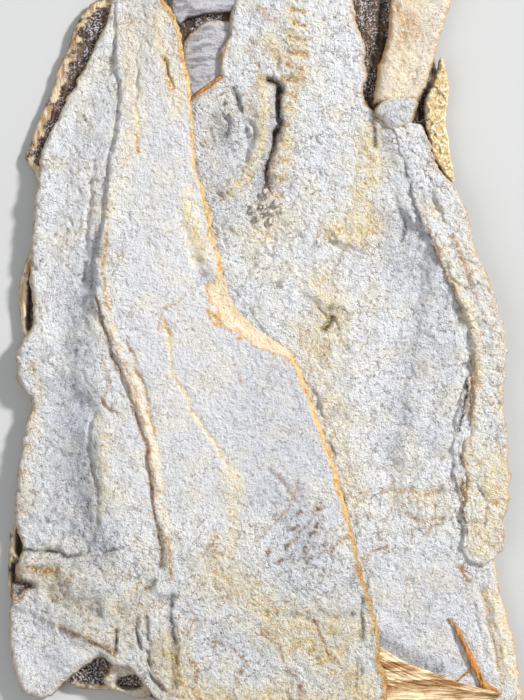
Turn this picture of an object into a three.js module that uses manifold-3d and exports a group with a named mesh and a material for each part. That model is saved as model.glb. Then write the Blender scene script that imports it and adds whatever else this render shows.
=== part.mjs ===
// Salted dried ling: a whole split fish, doubled over and pressed flat, flesh side up.
// Millimetres. X runs across the fish, Y along it towards the tail tips, Z up from the floor.
import * as THREE from 'three';
import Module from 'manifold-3d';

const wasm = await Module();
wasm.setup();

// Levels of the layers above the floor
const LOWER_TOP = 8;
const MEMBRANE_TOP = 11.5;
const STRIP_TOP = 14;
const RIGHT_TOP = 17;
const FLAP_TOP = 18;
const BELLY_TOP = 19.7;
const KNUCKLE_TOP = 22;
const LEFT_TOP = 22.5;
const MARGIN_TOP = 14;
const FIN_TOP = 12.5;
const FAN_TOP = 16.4;
const BODY_FLOOR = 5.5;

// How far one layer sinks into the next where they are pressed together
const SINK = 2.5;
// How far the sides come down where they turn into the fold, and over what distances from it
const FOLD_DROP = 3;
const FOLD_RUN = [18, 4];
// How high above the right side the free edge of the left side stands off
const EDGE_GAP = 0.9;
// Over what distances from the free edge its underside comes down to the layer below, and past it
const LANDING = [9, 5];
const BEDDING = [9, 16];
// How much of a rim's height is left at its very edge, before it rounds over
const RIM_FLOOR = 0.3;
// How far apart the first grid lines of a rim lie, as shares of the sheet's width and length
const RIM_SHARE_ACROSS = 0.016;
const RIM_SHARE_ALONG = 0.01;
// How far the lower half's margins stand off the floor, and over what distances from its edge
const MARGIN_LIFT = 1.5;
const MARGIN_LIFT_RUN = [16, 6];
// How far the ground falls at the near right corner, by y and by x
const RIGHT_CORNER_DROP = 3.5;
const RIGHT_CORNER_RUN = { y: [-130, -185], x: [40, 120] };
// How far from its left edge the left side is still thin, and how its tail tongue thins by y
const LEFT_MARGIN_RUN = [48, 8];
const TONGUE_DROP = 4;
const TONGUE_RUN = [120, 200];
// The lower flap at the near left corner, beyond a slanting step
const FLAP_DROP = 2.2;
const FLAP_STEP = { x: -125, slope: 0.44, run: [-184, -190], end: [-88, -98] };
// How far the belly rim thins towards the knuckle, by y
const BELLY_DROP = 2.4;
const BELLY_RUN = [30, 100];

// Side outlines are [y, x] from the tail end down, end outlines are [share of the width, y]
const LEFT_SIDE = {
  left: [[222, -80], [206, -86], [189, -92], [177, -95], [162, -102], [144, -111], [125, -121],
    [110, -129.5], [97, -134], [66, -138.5], [27, -141.5], [-4, -140], [-19, -148], [-30, -149.5],
    [-42, -147.5], [-53, -140.5], [-68, -144.5], [-90, -148], [-120, -150.5], [-140, -146.5],
    [-150, -149.5], [-171, -152.5], [-185, -154], [-203, -153], [-221, -149], [-232, -145]],
  right: [[222, -67], [204, -63], [189, -60], [179, -54.5], [165, -50], [149, -47], [129, -44],
    [90, -41.5], [74, -36], [51, -31], [36, -27.5], [19, -24], [6, -18.5], [-6, -8], [-14, 4],
    [-22, 15], [-39, 23.5], [-66, 33], [-98, 44], [-129, 52], [-159, 59.5], [-189, 68.5],
    [-212, 70.5], [-221, 74], [-231, 72.5], [-244, 71.5]],
  far: [[0, 219], [0.5, 224], [1, 221]],
  near: [[0, -227.5], [0.045, -230.5], [0.083, -229], [0.12, -222], [0.16, -216], [0.2, -210.5],
    [0.24, -205], [0.275, -211], [0.317, -214.5], [0.343, -221.5], [0.365, -231], [0.42, -238],
    [0.58, -242], [0.77, -240.5], [0.91, -243], [1, -240.5]],
};
const RIGHT_SIDE = {
  left: [[247, -8], [216, -16], [189, -18.5], [180, -21.5], [170, -22], [158, -27.5], [147, -27.5],
    [141, -29], [135, -37], [129, -45], [120, -58], [105, -66], [69, -62], [36, -54], [6, -44],
    [-18, -20], [-39, -2], [-66, 8], [-98, 19], [-129, 28], [-189, 43], [-247, 48]],
  right: [[247, 45], [213, 50.5], [189, 53], [175, 55], [162, 60], [144, 61], [126, 61], [121, 70],
    [115, 82], [107, 91], [97, 97], [88, 100], [74, 106], [57, 115], [39, 120], [18, 128],
    [-6, 135], [-24, 137], [-51, 135], [-75, 137], [-93, 140], [-114, 139], [-132, 137],
    [-148, 137.5], [-158, 139.5], [-168, 142], [-178, 145], [-201, 150.5], [-222, 153.5],
    [-232, 154.5], [-247, 152.5]],
  far: [[0, 242], [0.25, 246.5], [0.65, 247], [1, 240.5]],
  near: [[0, -240.5], [0.25, -246], [0.55, -247], [0.8, -246], [1, -243.5]],
};
const LOWER_SIDE = {
  left: [[200, -98], [189, -104], [174, -114.5], [159, -119], [147, -125], [132, -129.5],
    [118, -136], [104, -141.5], [94, -144], [87, -140.5], [77, -136], [45, -136], [38, -141],
    [30, -145], [18, -148], [2, -148], [-10, -146], [-20, -141], [-54, -134], [-75, -138.5],
    [-99, -142], [-120, -147], [-129, -152.5], [-141, -154], [-158, -155], [-170, -153.5],
    [-178, -149.5], [-201, -146], [-230, -136]],
  right: [[228, 104], [190, 103], [160, 101], [146, 104], [127, 106], [105, 107], [82, 109],
    [45, 115], [9, 126], [-21, 132], [-51, 130], [-87, 134], [-123, 132], [-153, 131], [-183, 138],
    [-213, 143], [-240, 144]],
  far: [[0, 187], [0.053, 192], [0.126, 194], [0.194, 190], [0.228, 184], [0.257, 194],
    [0.306, 210], [0.43, 224], [0.636, 228], [0.84, 226], [0.96, 216], [1, 203]],
  near: [[0, -212], [0.05, -217], [0.085, -224], [0.14, -225.5], [0.23, -230], [0.34, -235],
    [0.555, -236], [0.77, -240], [1, -239]],
};
const BELLY_RIM = {
  left: [[117, 71.5], [109, 77.5], [101, 78.5], [90, 82], [80, 86], [67, 88], [57, 93],
    [39, 99.5], [20, 108.5], [2, 117], [-18, 122.5], [-28, 123], [-44, 119], [-60, 114], [-75, 112],
    [-90, 112], [-106, 115], [-124, 118], [-135, 118], [-152, 117]],
  right: [[117, 92.5], [105, 98.5], [90, 104], [80, 112], [70, 117.5], [59, 123],
    [40, 126], [22, 134], [2, 141], [-23, 145], [-45, 143.5], [-63, 144], [-93, 147.5],
    [-111, 146.5], [-123, 144], [-133, 144.5], [-152, 140]],
  far: [[0, 113], [0.35, 116.5], [0.7, 117], [1, 114]],
  near: [[0, -141], [0.25, -148.5], [0.65, -150.5], [1, -142]],
};
const NAPE_FLAP = {
  left: [[237, 79], [210, 77], [189, 75.5], [173, 74], [162, 72], [142, 66.5], [120, 65]],
  right: [[237, 104], [210, 110], [189, 111], [177, 108.5], [156, 102], [144, 98.5], [120, 88]],
  far: [[0, 232], [0.3, 237], [0.7, 237], [1, 231]],
  near: [[0, 127], [0.5, 126], [1, 127]],
};
const FIN_BASE = {
  left: [[155, 105], [146, 103], [136, 99], [128, 95.5], [119, 95.5], [106, 98], [93, 102],
    [80, 110]],
  right: [[155, 107.5], [146, 109], [137, 110.5], [127, 110], [116, 108.5], [105, 110.5],
    [93, 112], [80, 114.5]],
  far: [[0, 153], [0.5, 155], [1, 154]],
  near: [[0, 82], [0.5, 80], [1, 81]],
};
const MEMBRANE = {
  left: [[177, -41], [170, -45], [163, -50], [141, -50], [126, -50]],
  right: [[177, -10], [126, -10]],
  far: [[0, 168], [0.12, 175], [0.3, 177.5], [1, 176]],
  near: [[0, 127], [1, 127]],
};
const TAIL_STRIP = {
  left: [[208, -48], [196, -54], [184, -58], [172, -58]],
  right: [[208, -6], [172, -6]],
  far: [[0, 200], [0.4, 207], [1, 208]],
  near: [[0, 181], [0.12, 174], [0.22, 178], [0.45, 180.5], [1, 183]],
};

// The waves on the fin's base: their height, and how long they are along x and y
const FIN_WAVE = { height: 1.2, x: 5, y: 3.4 };

// Slow buckles left by the pressing and drying. Each is a product of waves, with a height, and
// for each wave its direction, length and start. The thinner layers follow them by a share.
const BUCKLES = [
  { height: 0.6, waves: [{ x: 1, y: 0, length: 19, start: 1.3 },
    { x: 0, y: 1, length: 27, start: 0.4 }] },
  { height: 0.35, waves: [{ x: 1, y: -1.4, length: 13, start: 2.1 }] },
  { height: 0.3, waves: [{ x: 1, y: 0.6, length: 6.5, start: 0 },
    { x: 0, y: 1, length: 8.5, start: 1.9 }] },
];
const THIN_SHARE = 0.5;

// The fan of dry strands that comes out from under the left side at the near end
const STRAND_FAN = {
  left: [[-190, 62], [-245, 62]],
  right: [[-190, 140], [-245, 140]],
  far: [[0, -194], [0.115, -199], [0.24, -206], [0.4, -211.5], [0.63, -218.5], [0.82, -223.5],
    [1, -226.5]],
  near: [[0, -243], [0.23, -241], [0.49, -237], [0.74, -233], [1, -230]],
};
const FAN_DROP = 2;
const FAN_RIDGES = { height: 0.5, count: 3 };

// Lines of relief as [x, y] places, with the height of each and how wide it reads
const LEFT_RELIEF = [
  { height: 2.4, reach: 5, line: [[-87, 153], [-88, 111], [-95, 72], [-96, 30], [-91, -9],
    [-79, -42], [-69, -75], [-62, -120], [-57, -159], [-55, -231]] },
  { height: -2.4, reach: 4, line: [[-90, 190], [-89, 132], [-92, 99], [-97, 66], [-103, 36],
    [-101, 0], [-90, -28], [-77, -62], [-69, -107], [-64, -155]] },
  { height: -2.6, reach: 11, line: [[-103, 80], [-105, 51], [-116, 0], [-115, -40], [-111, -87],
    [-106, -122], [-110, -142]] },
  { height: 1.8, reach: 7, line: [[-96, -63], [-98, -110], [-102, -132]] },
  { height: -1.8, reach: 3, line: [[-145, -142], [-120, -146], [-98, -145], [-81, -138]] },
  { height: -1.8, reach: 3, line: [[-55, -163], [-56, -182], [-54, -220]] },
  { height: -1.2, reach: 4, line: [[-60, -4], [-50, -44], [-27, -80], [-20, -120]] },
  { height: 1.5, reach: 6, line: [[-25, -178], [-5, -181], [20, -178], [52, -181]] },
  { height: -1.6, reach: 5, line: [[-128, -168], [-112, -171], [-100, -176]] },
  { height: -1.8, reach: 6, line: [[-28, 10], [-16, 0], [-4, -12], [8, -20]] },
];
const RIGHT_RELIEF = [
  { height: -6, reach: 3.6, line: [[-3, 143], [5, 139], [9, 132], [8, 120], [3, 93], [-3, 60]] },
  { height: -3, reach: 13, line: [[-24, 99], [-20, 112]] },
  { height: 1.6, reach: 5, line: [[-4, 135], [-2, 105], [-8, 90], [-24, 72]] },
  { height: -3, reach: 12, line: [[72, 99], [84, 60], [93, 3], [88, -21], [78, -81], [76, -112]] },
  { height: -2.4, reach: 4, line: [[-20, 136], [-14, 123]] },
  { height: 1.8, reach: 14, line: [[20, 190], [24, 120], [28, 60]] },
  { height: 1.4, reach: 12, line: [[44, 6], [48, -40], [50, -90]] },
  { height: -1.6, reach: 3, line: [[58, -147], [73, -139]] },
];

// The loose string on the near right corner, with the height of its middle above the flesh
const STRING_LINE = [[110, -182], [116, -190], [121, -200.5], [126.5, -212.5], [131.5, -222],
  [141, -228]];
const STRING_RADIUS = 1.2;
const STRING_LIFT = 0.5;

// The knuckle's middle, half its length and width, and how far it is turned
const KNUCKLE = { x: 79, y: 122, z: 13, long: 13, wide: 10, turn: 0.35 };

// The curled flap of skin at the near left corner
const CURL_LINE = [[-97, -219], [-86, -222], [-74, -220]];
const CURL_RADIUS = 7.5;
const CURL_LIFT = 1.2;
const CURL_HOLLOW = { radius: 4.5, tip: 3.5, lift: 5 };

// A smooth curve through hand-set knots [t, value], as a function of t
function smoothLine(knots) {
  const rising = [...knots].sort((a, b) => a[0] - b[0]);
  const last = rising.length - 1;
  const slopes = rising.map((_, i) => {
    const before = rising[Math.max(i - 1, 0)];
    const after = rising[Math.min(i + 1, last)];
    return (after[1] - before[1]) / (after[0] - before[0]);
  });
  return (t) => {
    const clamped = Math.min(Math.max(t, rising[0][0]), rising[last][0]);
    let i = 0;
    while (i < last - 1 && clamped > rising[i + 1][0]) i += 1;
    const step = rising[i + 1][0] - rising[i][0];
    const s = (clamped - rising[i][0]) / step;
    const rise = s * s * (3 - 2 * s);
    const tangents = s * (1 - s) * ((1 - s) * slopes[i] - s * slopes[i + 1]) * step;
    return rising[i][1] * (1 - rise) + rising[i + 1][1] * rise + tangents;
  };
}

// How far a place is from a line of points
function distanceToLine(x, y, line) {
  let nearest = Infinity;
  for (let i = 0; i + 1 < line.length; i += 1) {
    const [ax, ay] = line[i];
    const dx = line[i + 1][0] - ax;
    const dy = line[i + 1][1] - ay;
    const along = ((x - ax) * dx + (y - ay) * dy) / (dx * dx + dy * dy);
    const t = Math.min(Math.max(along, 0), 1);
    nearest = Math.min(nearest, Math.hypot(x - ax - t * dx, y - ay - t * dy));
  }
  return nearest;
}

// Ridges and furrows of a side, added up
function relief(x, y, features) {
  let height = 0;
  for (const feature of features) {
    const ratio = distanceToLine(x, y, feature.line) / feature.reach;
    height += feature.height * Math.exp(-ratio * ratio);
  }
  return height;
}

// The buckles at a place, added up
function buckle(x, y) {
  let total = 0;
  for (const { height, waves } of BUCKLES) {
    const levels = waves.map((wave) => {
      return Math.sin((wave.x * x + wave.y * y) / wave.length + wave.start);
    });
    total += levels.reduce((product, level) => product * level, height);
  }
  return total;
}

// From 0 to 1 as a value goes from low to high
function blend(low, high, value) {
  const t = Math.min(Math.max((value - low) / (high - low), 0), 1);
  return t * t * (3 - 2 * t);
}

// Grid shares from 0 to 1, with two short steps at each end for the rounded rim
function gridShares(count, rimShare) {
  const inner = Array.from({ length: count - 3 }, (_, i) => {
    return 3 * rimShare + ((1 - 6 * rimShare) * i) / (count - 4);
  });
  return [0, rimShare, ...inner, 1 - rimShare, 1];
}

// The plan of a side: places from shares of its width and length, and distances to its edges
function makePlan(outline) {
  const leftAt = smoothLine(outline.left);
  const rightAt = smoothLine(outline.right);
  const farAt = smoothLine(outline.far);
  const nearAt = smoothLine(outline.near);
  return (across, along) => {
    const y = farAt(across) * (1 - along) + nearAt(across) * along;
    const width = rightAt(y) - leftAt(y);
    const length = farAt(across) - nearAt(across);
    return {
      x: leftAt(y) + width * across,
      y,
      fromLeft: across * width,
      fromRight: (1 - across) * width,
      fromFar: along * length,
      fromNear: (1 - along) * length,
      fromEnds: Math.min(along, 1 - along) * length,
    };
  };
}

// A closed sheet between two side outlines, two end outlines, an upper and a lower height
function makeSheet({ outline, columns, rows, rim, over, under }) {
  const plan = makePlan(outline);
  const acrossShares = gridShares(columns, RIM_SHARE_ACROSS);
  const alongShares = gridShares(rows, RIM_SHARE_ALONG);
  const positions = [];
  for (const side of [over, under]) {
    for (const along of alongShares) {
      for (const across of acrossShares) {
        const spot = plan(across, along);
        const inside = Math.min(spot.fromLeft, spot.fromRight, spot.fromEnds);
        const reach = 1 - Math.min(inside / rim, 1);
        const full = RIM_FLOOR + (1 - RIM_FLOOR) * Math.sqrt(1 - reach * reach);
        const middle = (over(spot) + under(spot)) / 2;
        positions.push(spot.x, spot.y, middle + (side(spot) - middle) * full);
      }
    }
  }
  const width = columns + 1;
  const layer = width * (rows + 1);
  const faces = [];
  for (let j = 0; j < rows; j += 1) {
    for (let i = 0; i < columns; i += 1) {
      const a = j * width + i;
      const b = a + 1;
      const c = a + width;
      const d = c + 1;
      faces.push(a, c, b, b, c, d);
      faces.push(layer + a, layer + b, layer + c, layer + b, layer + d, layer + c);
    }
  }
  const ring = [];
  for (let i = 0; i < columns; i += 1) ring.push(i);
  for (let j = 0; j < rows; j += 1) ring.push(j * width + columns);
  for (let i = columns; i > 0; i -= 1) ring.push(rows * width + i);
  for (let j = rows; j > 0; j -= 1) ring.push(j * width);
  ring.forEach((a, i) => {
    const b = ring[(i + 1) % ring.length];
    faces.push(a, b, layer + a, b, layer + b, layer + a);
  });
  return toSolid(positions, faces);
}

// A round strand along places [x, y, z], thinner at its end
function makeStrand({ line, radius, tip, sides, steps }) {
  const path = new THREE.CatmullRomCurve3(line.map((p) => new THREE.Vector3(...p)));
  const positions = [];
  for (let j = 0; j <= steps; j += 1) {
    const t = j / steps;
    const centre = path.getPoint(t);
    const ahead = path.getTangent(t);
    const side = new THREE.Vector3(ahead.y, -ahead.x, 0).normalize();
    const up = new THREE.Vector3().crossVectors(side, ahead).normalize();
    const size = radius * (1 - t) + tip * t;
    for (let i = 0; i < sides; i += 1) {
      const turn = (i / sides) * Math.PI * 2;
      const point = centre.clone();
      point.addScaledVector(side, size * Math.cos(turn));
      point.addScaledVector(up, size * Math.sin(turn));
      positions.push(point.x, point.y, point.z);
    }
  }
  const faces = [];
  for (let j = 0; j < steps; j += 1) {
    for (let i = 0; i < sides; i += 1) {
      const a = j * sides + i;
      const b = j * sides + ((i + 1) % sides);
      faces.push(a, a + sides, b, b, a + sides, b + sides);
    }
  }
  const end = steps * sides;
  for (let i = 1; i + 1 < sides; i += 1) {
    faces.push(0, i, i + 1);
    faces.push(end, end + i + 1, end + i);
  }
  return toSolid(positions, faces);
}

// A closed body from its corners and faces
function toSolid(positions, faces) {
  const mesh = new wasm.Mesh({
    numProp: 3,
    vertProperties: new Float32Array(positions),
    triVerts: new Uint32Array(faces),
  });
  return new wasm.Manifold(mesh);
}

// The half that lies underneath, skin side up, flat on the floor
function lowerTop({ x, y }) {
  return LOWER_TOP + THIN_SHARE * buckle(x, y);
}
function makeLowerSide() {
  return makeSheet({
    outline: LOWER_SIDE,
    columns: 13,
    rows: 28,
    rim: 7,
    over: lowerTop,
    under: ({ fromLeft, fromRight, fromEnds }) => {
      return MARGIN_LIFT * blend(...MARGIN_LIFT_RUN, Math.min(fromLeft, fromRight, fromEnds));
    },
  });
}

// The right half of the flesh, with its tail stub, split and belly valley
function rightTop({ x, y }) {
  const corner = blend(...RIGHT_CORNER_RUN.y, y) * blend(...RIGHT_CORNER_RUN.x, x);
  return RIGHT_TOP - RIGHT_CORNER_DROP * corner + relief(x, y, RIGHT_RELIEF) + buckle(x, y);
}
// The underside that both halves share, nearer the floor towards the fold
function bodyUnder({ fromNear }) {
  return BODY_FLOOR - FOLD_DROP * blend(...FOLD_RUN, fromNear);
}
function makeRightSide() {
  return makeSheet({
    outline: RIGHT_SIDE,
    columns: 23,
    rows: 44,
    rim: 6,
    over: rightTop,
    under: bodyUnder,
  });
}

// The left half of the flesh, lapped over the right one, with its seam ridge
function leftTop({ x, y, fromLeft }) {
  const margin = (LEFT_TOP - MARGIN_TOP) * blend(...LEFT_MARGIN_RUN, fromLeft);
  const tongue = TONGUE_DROP * blend(...TONGUE_RUN, y);
  const slant = y + FLAP_STEP.slope * (x - FLAP_STEP.x);
  const flap = FLAP_DROP * blend(...FLAP_STEP.run, slant) * blend(...FLAP_STEP.end, x);
  const slope = Math.max(margin, tongue) + flap;
  return LEFT_TOP - slope + relief(x, y, LEFT_RELIEF) + buckle(x, y);
}
function leftUnder(spot) {
  const lift = blend(...LANDING, spot.fromRight);
  const bedded = blend(...BEDDING, spot.fromRight);
  const onRight = rightTop(spot) - SINK + (SINK + EDGE_GAP) * lift;
  return onRight * (1 - bedded) + bodyUnder(spot) * bedded;
}
function makeLeftSide() {
  return makeSheet({
    outline: LEFT_SIDE,
    columns: 27,
    rows: 46,
    rim: 5,
    over: leftTop,
    under: leftUnder,
  });
}

// The belly wall rolled back along the right margin
function makeBellyRim() {
  return makeSheet({
    outline: BELLY_RIM,
    columns: 6,
    rows: 28,
    rim: 5,
    over: ({ x, y }) => BELLY_TOP - BELLY_DROP * blend(...BELLY_RUN, y) + buckle(x, y),
    under: () => LOWER_TOP,
  });
}

// The thick flap beside the tail stub, and the knuckle where it turns under
function makeNapeFlap() {
  return makeSheet({
    outline: NAPE_FLAP,
    columns: 7,
    rows: 12,
    rim: 7,
    over: ({ x, y }) => FLAP_TOP + buckle(x, y),
    under: () => BODY_FLOOR,
  });
}
function makeKnuckle() {
  const shape = new THREE.SphereGeometry(1, 14, 9);
  shape.scale(KNUCKLE.long, KNUCKLE.wide, KNUCKLE_TOP - KNUCKLE.z);
  shape.rotateZ(KNUCKLE.turn);
  shape.translate(KNUCKLE.x, KNUCKLE.y, KNUCKLE.z);
  return fromGeometry(shape);
}

// The fin's dry base along the far right edge
function makeFinBase() {
  return makeSheet({
    outline: FIN_BASE,
    columns: 5,
    rows: 12,
    rim: 3,
    over: ({ x, y }) => {
      const wave = Math.sin(y / FIN_WAVE.y) * Math.sin(x / FIN_WAVE.x);
      return FIN_TOP + FIN_WAVE.height * wave;
    },
    under: () => BODY_FLOOR,
  });
}

// What shows in the gap between the two sides: a bare membrane and the strip beyond it
function makeMembrane() {
  return makeSheet({
    outline: MEMBRANE,
    columns: 5,
    rows: 7,
    rim: 4,
    over: ({ x, y }) => MEMBRANE_TOP + THIN_SHARE * buckle(x, y),
    under: () => BODY_FLOOR,
  });
}
function makeTailStrip() {
  return makeSheet({
    outline: TAIL_STRIP,
    columns: 7,
    rows: 5,
    rim: 4,
    over: ({ x, y }) => STRIP_TOP + THIN_SHARE * buckle(x, y),
    under: () => BODY_FLOOR,
  });
}

// Dry strands that fan out from under the left side's edge, and a loose string
function makeStrandFan() {
  return makeSheet({
    outline: STRAND_FAN,
    columns: 8,
    rows: 9,
    rim: 3,
    over: ({ x, fromLeft, fromNear, fromFar }) => {
      const gone = fromLeft / (fromLeft + STRAND_FAN.right[0][1] - x);
      const share = fromFar / (fromFar + fromNear);
      const ridge = FAN_RIDGES.height * Math.cos(2 * Math.PI * FAN_RIDGES.count * share);
      return FAN_TOP - FAN_DROP * gone + ridge;
    },
    under: () => LOWER_TOP,
  });
}
function makeString() {
  return makeStrand({
    line: STRING_LINE.map(([x, y]) => [x, y, rightTop({ x, y }) + STRING_LIFT]),
    radius: STRING_RADIUS,
    tip: STRING_RADIUS,
    sides: 5,
    steps: 8,
  });
}

// The skin flap rolled up at the near left corner, hollow along its middle
function makeCurl() {
  const middle = CURL_RADIUS + CURL_LIFT;
  const roll = makeStrand({
    line: CURL_LINE.map(([x, y]) => [x, y, middle]),
    radius: CURL_RADIUS,
    tip: CURL_RADIUS,
    sides: 10,
    steps: 5,
  });
  const hollow = makeStrand({
    line: CURL_LINE.map(([x, y]) => [x, y, middle + CURL_HOLLOW.lift]),
    radius: CURL_HOLLOW.radius,
    tip: CURL_HOLLOW.tip,
    sides: 8,
    steps: 4,
  });
  return { roll, hollow };
}

// A three.js shape as a closed body, with its shared corners merged
function fromGeometry(geometry) {
  const source = geometry.toNonIndexed().getAttribute('position');
  const places = new Map();
  const positions = [];
  const corners = [];
  for (let i = 0; i < source.count; i += 1) {
    const point = [source.getX(i), source.getY(i), source.getZ(i)];
    const key = point.map((value) => Math.round(value * 1e4)).join(' ');
    if (!places.has(key)) {
      places.set(key, places.size);
      positions.push(...point);
    }
    corners.push(places.get(key));
  }
  const faces = [];
  for (let i = 0; i < corners.length; i += 3) {
    const [a, b, c] = corners.slice(i, i + 3);
    if (a !== b && b !== c && a !== c) faces.push(a, b, c);
  }
  return toSolid(positions, faces);
}

// Everything is one dried piece, so the layers are joined into one body
function makeFish() {
  const curl = makeCurl();
  const layers = [
    makeLowerSide(),
    makeMembrane(),
    makeTailStrip(),
    makeRightSide(),
    makeBellyRim(),
    makeNapeFlap(),
    makeKnuckle(),
    makeFinBase(),
    makeLeftSide(),
    curl.roll,
    makeStrandFan(),
    makeString(),
  ];
  const joined = layers.reduce((body, layer) => body.add(layer));
  return joined.subtract(curl.hollow);
}

function toGeometry(solid) {
  const mesh = solid.getMesh();
  const geometry = new THREE.BufferGeometry();
  geometry.setAttribute('position', new THREE.BufferAttribute(mesh.vertProperties, 3));
  geometry.setIndex(new THREE.BufferAttribute(mesh.triVerts, 1));
  geometry.computeVertexNormals();
  return geometry;
}

const flesh = new THREE.MeshStandardMaterial({
  color: new THREE.Color('#dad6d0'),
  roughness: 0.85,
  metalness: 0,
});
const ling = new THREE.Mesh(toGeometry(makeFish()), flesh);
ling.name = 'ling';

const group = new THREE.Group();
group.add(ling);

export default group;
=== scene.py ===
"""Salted dried ling: the looks of the folded fish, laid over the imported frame.

Lengths are in millimetres until a mesh is made, which turns them into metres.
X runs across the fish, Y along it towards the tail ends, Z up from the floor.
"""

import functools
import itertools
import math

import bpy
import numpy as np
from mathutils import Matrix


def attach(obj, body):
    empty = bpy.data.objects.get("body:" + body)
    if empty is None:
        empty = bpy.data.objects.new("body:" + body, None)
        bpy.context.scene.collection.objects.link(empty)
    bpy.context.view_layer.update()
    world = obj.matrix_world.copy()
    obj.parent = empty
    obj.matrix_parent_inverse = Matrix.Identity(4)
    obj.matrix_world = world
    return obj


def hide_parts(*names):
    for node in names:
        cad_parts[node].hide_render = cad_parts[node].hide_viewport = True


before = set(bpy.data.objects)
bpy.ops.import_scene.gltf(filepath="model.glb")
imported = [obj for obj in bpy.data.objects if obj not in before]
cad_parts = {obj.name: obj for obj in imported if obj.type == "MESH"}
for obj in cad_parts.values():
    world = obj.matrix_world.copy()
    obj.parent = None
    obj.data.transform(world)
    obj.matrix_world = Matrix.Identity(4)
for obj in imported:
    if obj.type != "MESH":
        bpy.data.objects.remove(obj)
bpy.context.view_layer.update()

MM = 0.001

# The photograph's view: its width and height on the fish, and the place at its middle
VIEW_HEIGHT = 420.0
VIEW_CENTRE = (-1.8, -21.0)
CAMERA_DISTANCE = 3000.0
SENSOR = 36.0

# The floor's half width and colour, and the light from all around
FLOOR_HALF = 2500.0
FLOOR_COLOUR = (190, 190, 188)
SKY_COLOUR = (0.89, 0.94, 1.0, 1)
SKY_STRENGTH = 0.44

# Levels of the layers above the floor, and their drops, as in the solid. A run is the pair of
# places or distances between which a drop comes in.
LOWER_TOP = 8.0
MEMBRANE_TOP = 11.5
STRIP_TOP = 14.0
RIGHT_TOP = 17.0
FLAP_TOP = 18.0
BELLY_TOP = 19.7
KNUCKLE_TOP = 22.0
KNUCKLE_LOW = 13.0
KNUCKLE_LONG = 13.4
KNUCKLE_WIDE = 10.2
KNUCKLE_MIDDLE = (79, 122)
KNUCKLE_TURN = 0.35
LEFT_TOP = 22.5
MARGIN_TOP = 14.0
FIN_TOP = 12.5
SINK = 2.5
EDGE_GAP = 0.9
BODY_FLOOR = 5.5
FOLD_DROP = 3.0
FOLD_RUN = (18, 4)
LANDING = (9, 5)
BEDDING = (9, 16)
RIGHT_CORNER_DROP = 3.5
LEFT_MARGIN_RUN = (48, 8)
TONGUE_DROP = 4.0
TONGUE_RUN = (120, 200)
FLAP_DROP = 2.2
FLAP_RUN = (-184, -189)
FLAP_SLANT = 0.44
FLAP_PIVOT = -125
FLAP_SIDE = (-88, -98)
BELLY_DROP = 2.4
BELLY_RUN = (30, 100)
BELLY_END_DROP = 1.5
BELLY_END_RUN = (-125, -148)
BAND_BEVEL = 2.4

# Outlines as numbers in turn: y and x down each side, and share of the width and y at each end
LEFT_SIDE = {
    "left": [222, -80, 206, -86, 189, -92, 177, -95, 162, -102, 144, -111, 125, -121, 110, -129.5,
        97, -134, 66, -138.5, 27, -141.5, -4, -140, -19, -148, -30, -149.5, -42, -147.5,
        -53, -140.5, -68, -144.5, -90, -148, -120, -150.5, -140, -146.5, -150, -149.5, -171, -152.5,
        -185, -154, -203, -153, -221, -149, -232, -145],
    "right": [222, -67, 204, -63, 189, -60, 179, -54.5, 165, -50, 149, -47, 129, -44, 90, -41.5,
        74, -36, 51, -31, 36, -27.5, 19, -24, 6, -18.5, -6, -8, -14, 4, -22, 15, -39, 23.5, -66, 33,
        -98, 44, -129, 52, -159, 59.5, -189, 68.5, -212, 70.5, -221, 74, -231, 72.5, -244, 71.5],
    "far": [0, 219, 0.5, 224, 1, 221],
    "near": [0, -227.5, 0.045, -230.5, 0.083, -229, 0.12, -222, 0.16, -216, 0.2, -210.5, 0.24, -205,
        0.275, -211, 0.317, -214.5, 0.343, -221.5, 0.365, -231, 0.42, -238, 0.58, -242,
        0.77, -240.5, 0.91, -243, 1, -240.5],
}
RIGHT_SIDE = {
    "left": [247, -8, 216, -16, 189, -18.5, 180, -21.5, 170, -22, 158, -27.5, 147, -27.5, 141, -29,
        135, -37, 129, -45, 120, -58, 105, -66, 69, -62, 36, -54, 6, -44, -18, -20, -39, -2, -66, 8,
        -98, 19, -129, 28, -189, 43, -247, 48],
    "right": [247, 45, 213, 50.5, 189, 53, 175, 55, 162, 60, 144, 61, 126, 61, 121, 70, 115, 82,
        107, 91, 97, 97, 88, 100, 74, 106, 57, 115, 39, 120, 18, 128, -6, 135, -24, 137, -51, 135,
        -75, 137, -93, 140, -114, 139, -132, 137, -148, 137.5, -158, 139.5, -168, 142, -178, 145,
        -201, 150.5, -222, 153.5, -232, 154.5, -247, 152.5],
    "far": [0, 242, 0.25, 246.5, 0.65, 247, 1, 240.5],
    "near": [0, -240.5, 0.25, -246, 0.55, -247, 0.8, -246, 1, -243.5],
}
LOWER_SIDE = {
    "left": [200, -98, 189, -104, 174, -114.5, 159, -119, 147, -125, 132, -129.5, 118, -136,
        104, -141.5, 94, -144, 87, -140.5, 77, -136, 45, -136, 38, -141, 30, -145, 18, -148,
        2, -148, -10, -146, -20, -141, -54, -134, -75, -138.5, -99, -142, -120, -147, -129, -152.5,
        -141, -154, -158, -155, -170, -153.5, -178, -149.5, -201, -146, -230, -136],
    "right": [228, 104, 190, 103, 160, 101, 146, 104, 127, 106, 105, 107, 82, 109, 45, 115, 9, 126,
        -21, 132, -51, 130, -87, 134, -123, 132, -153, 131, -183, 138, -213, 143, -240, 144],
    "far": [0, 187, 0.053, 192, 0.126, 194, 0.194, 190, 0.228, 184, 0.257, 194, 0.306, 210,
        0.43, 224, 0.636, 228, 0.84, 226, 0.96, 216, 1, 203],
    "near": [0, -212, 0.05, -217, 0.085, -224, 0.14, -225.5, 0.23, -230, 0.34, -235, 0.555, -236,
        0.77, -240, 1, -239],
}
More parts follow.
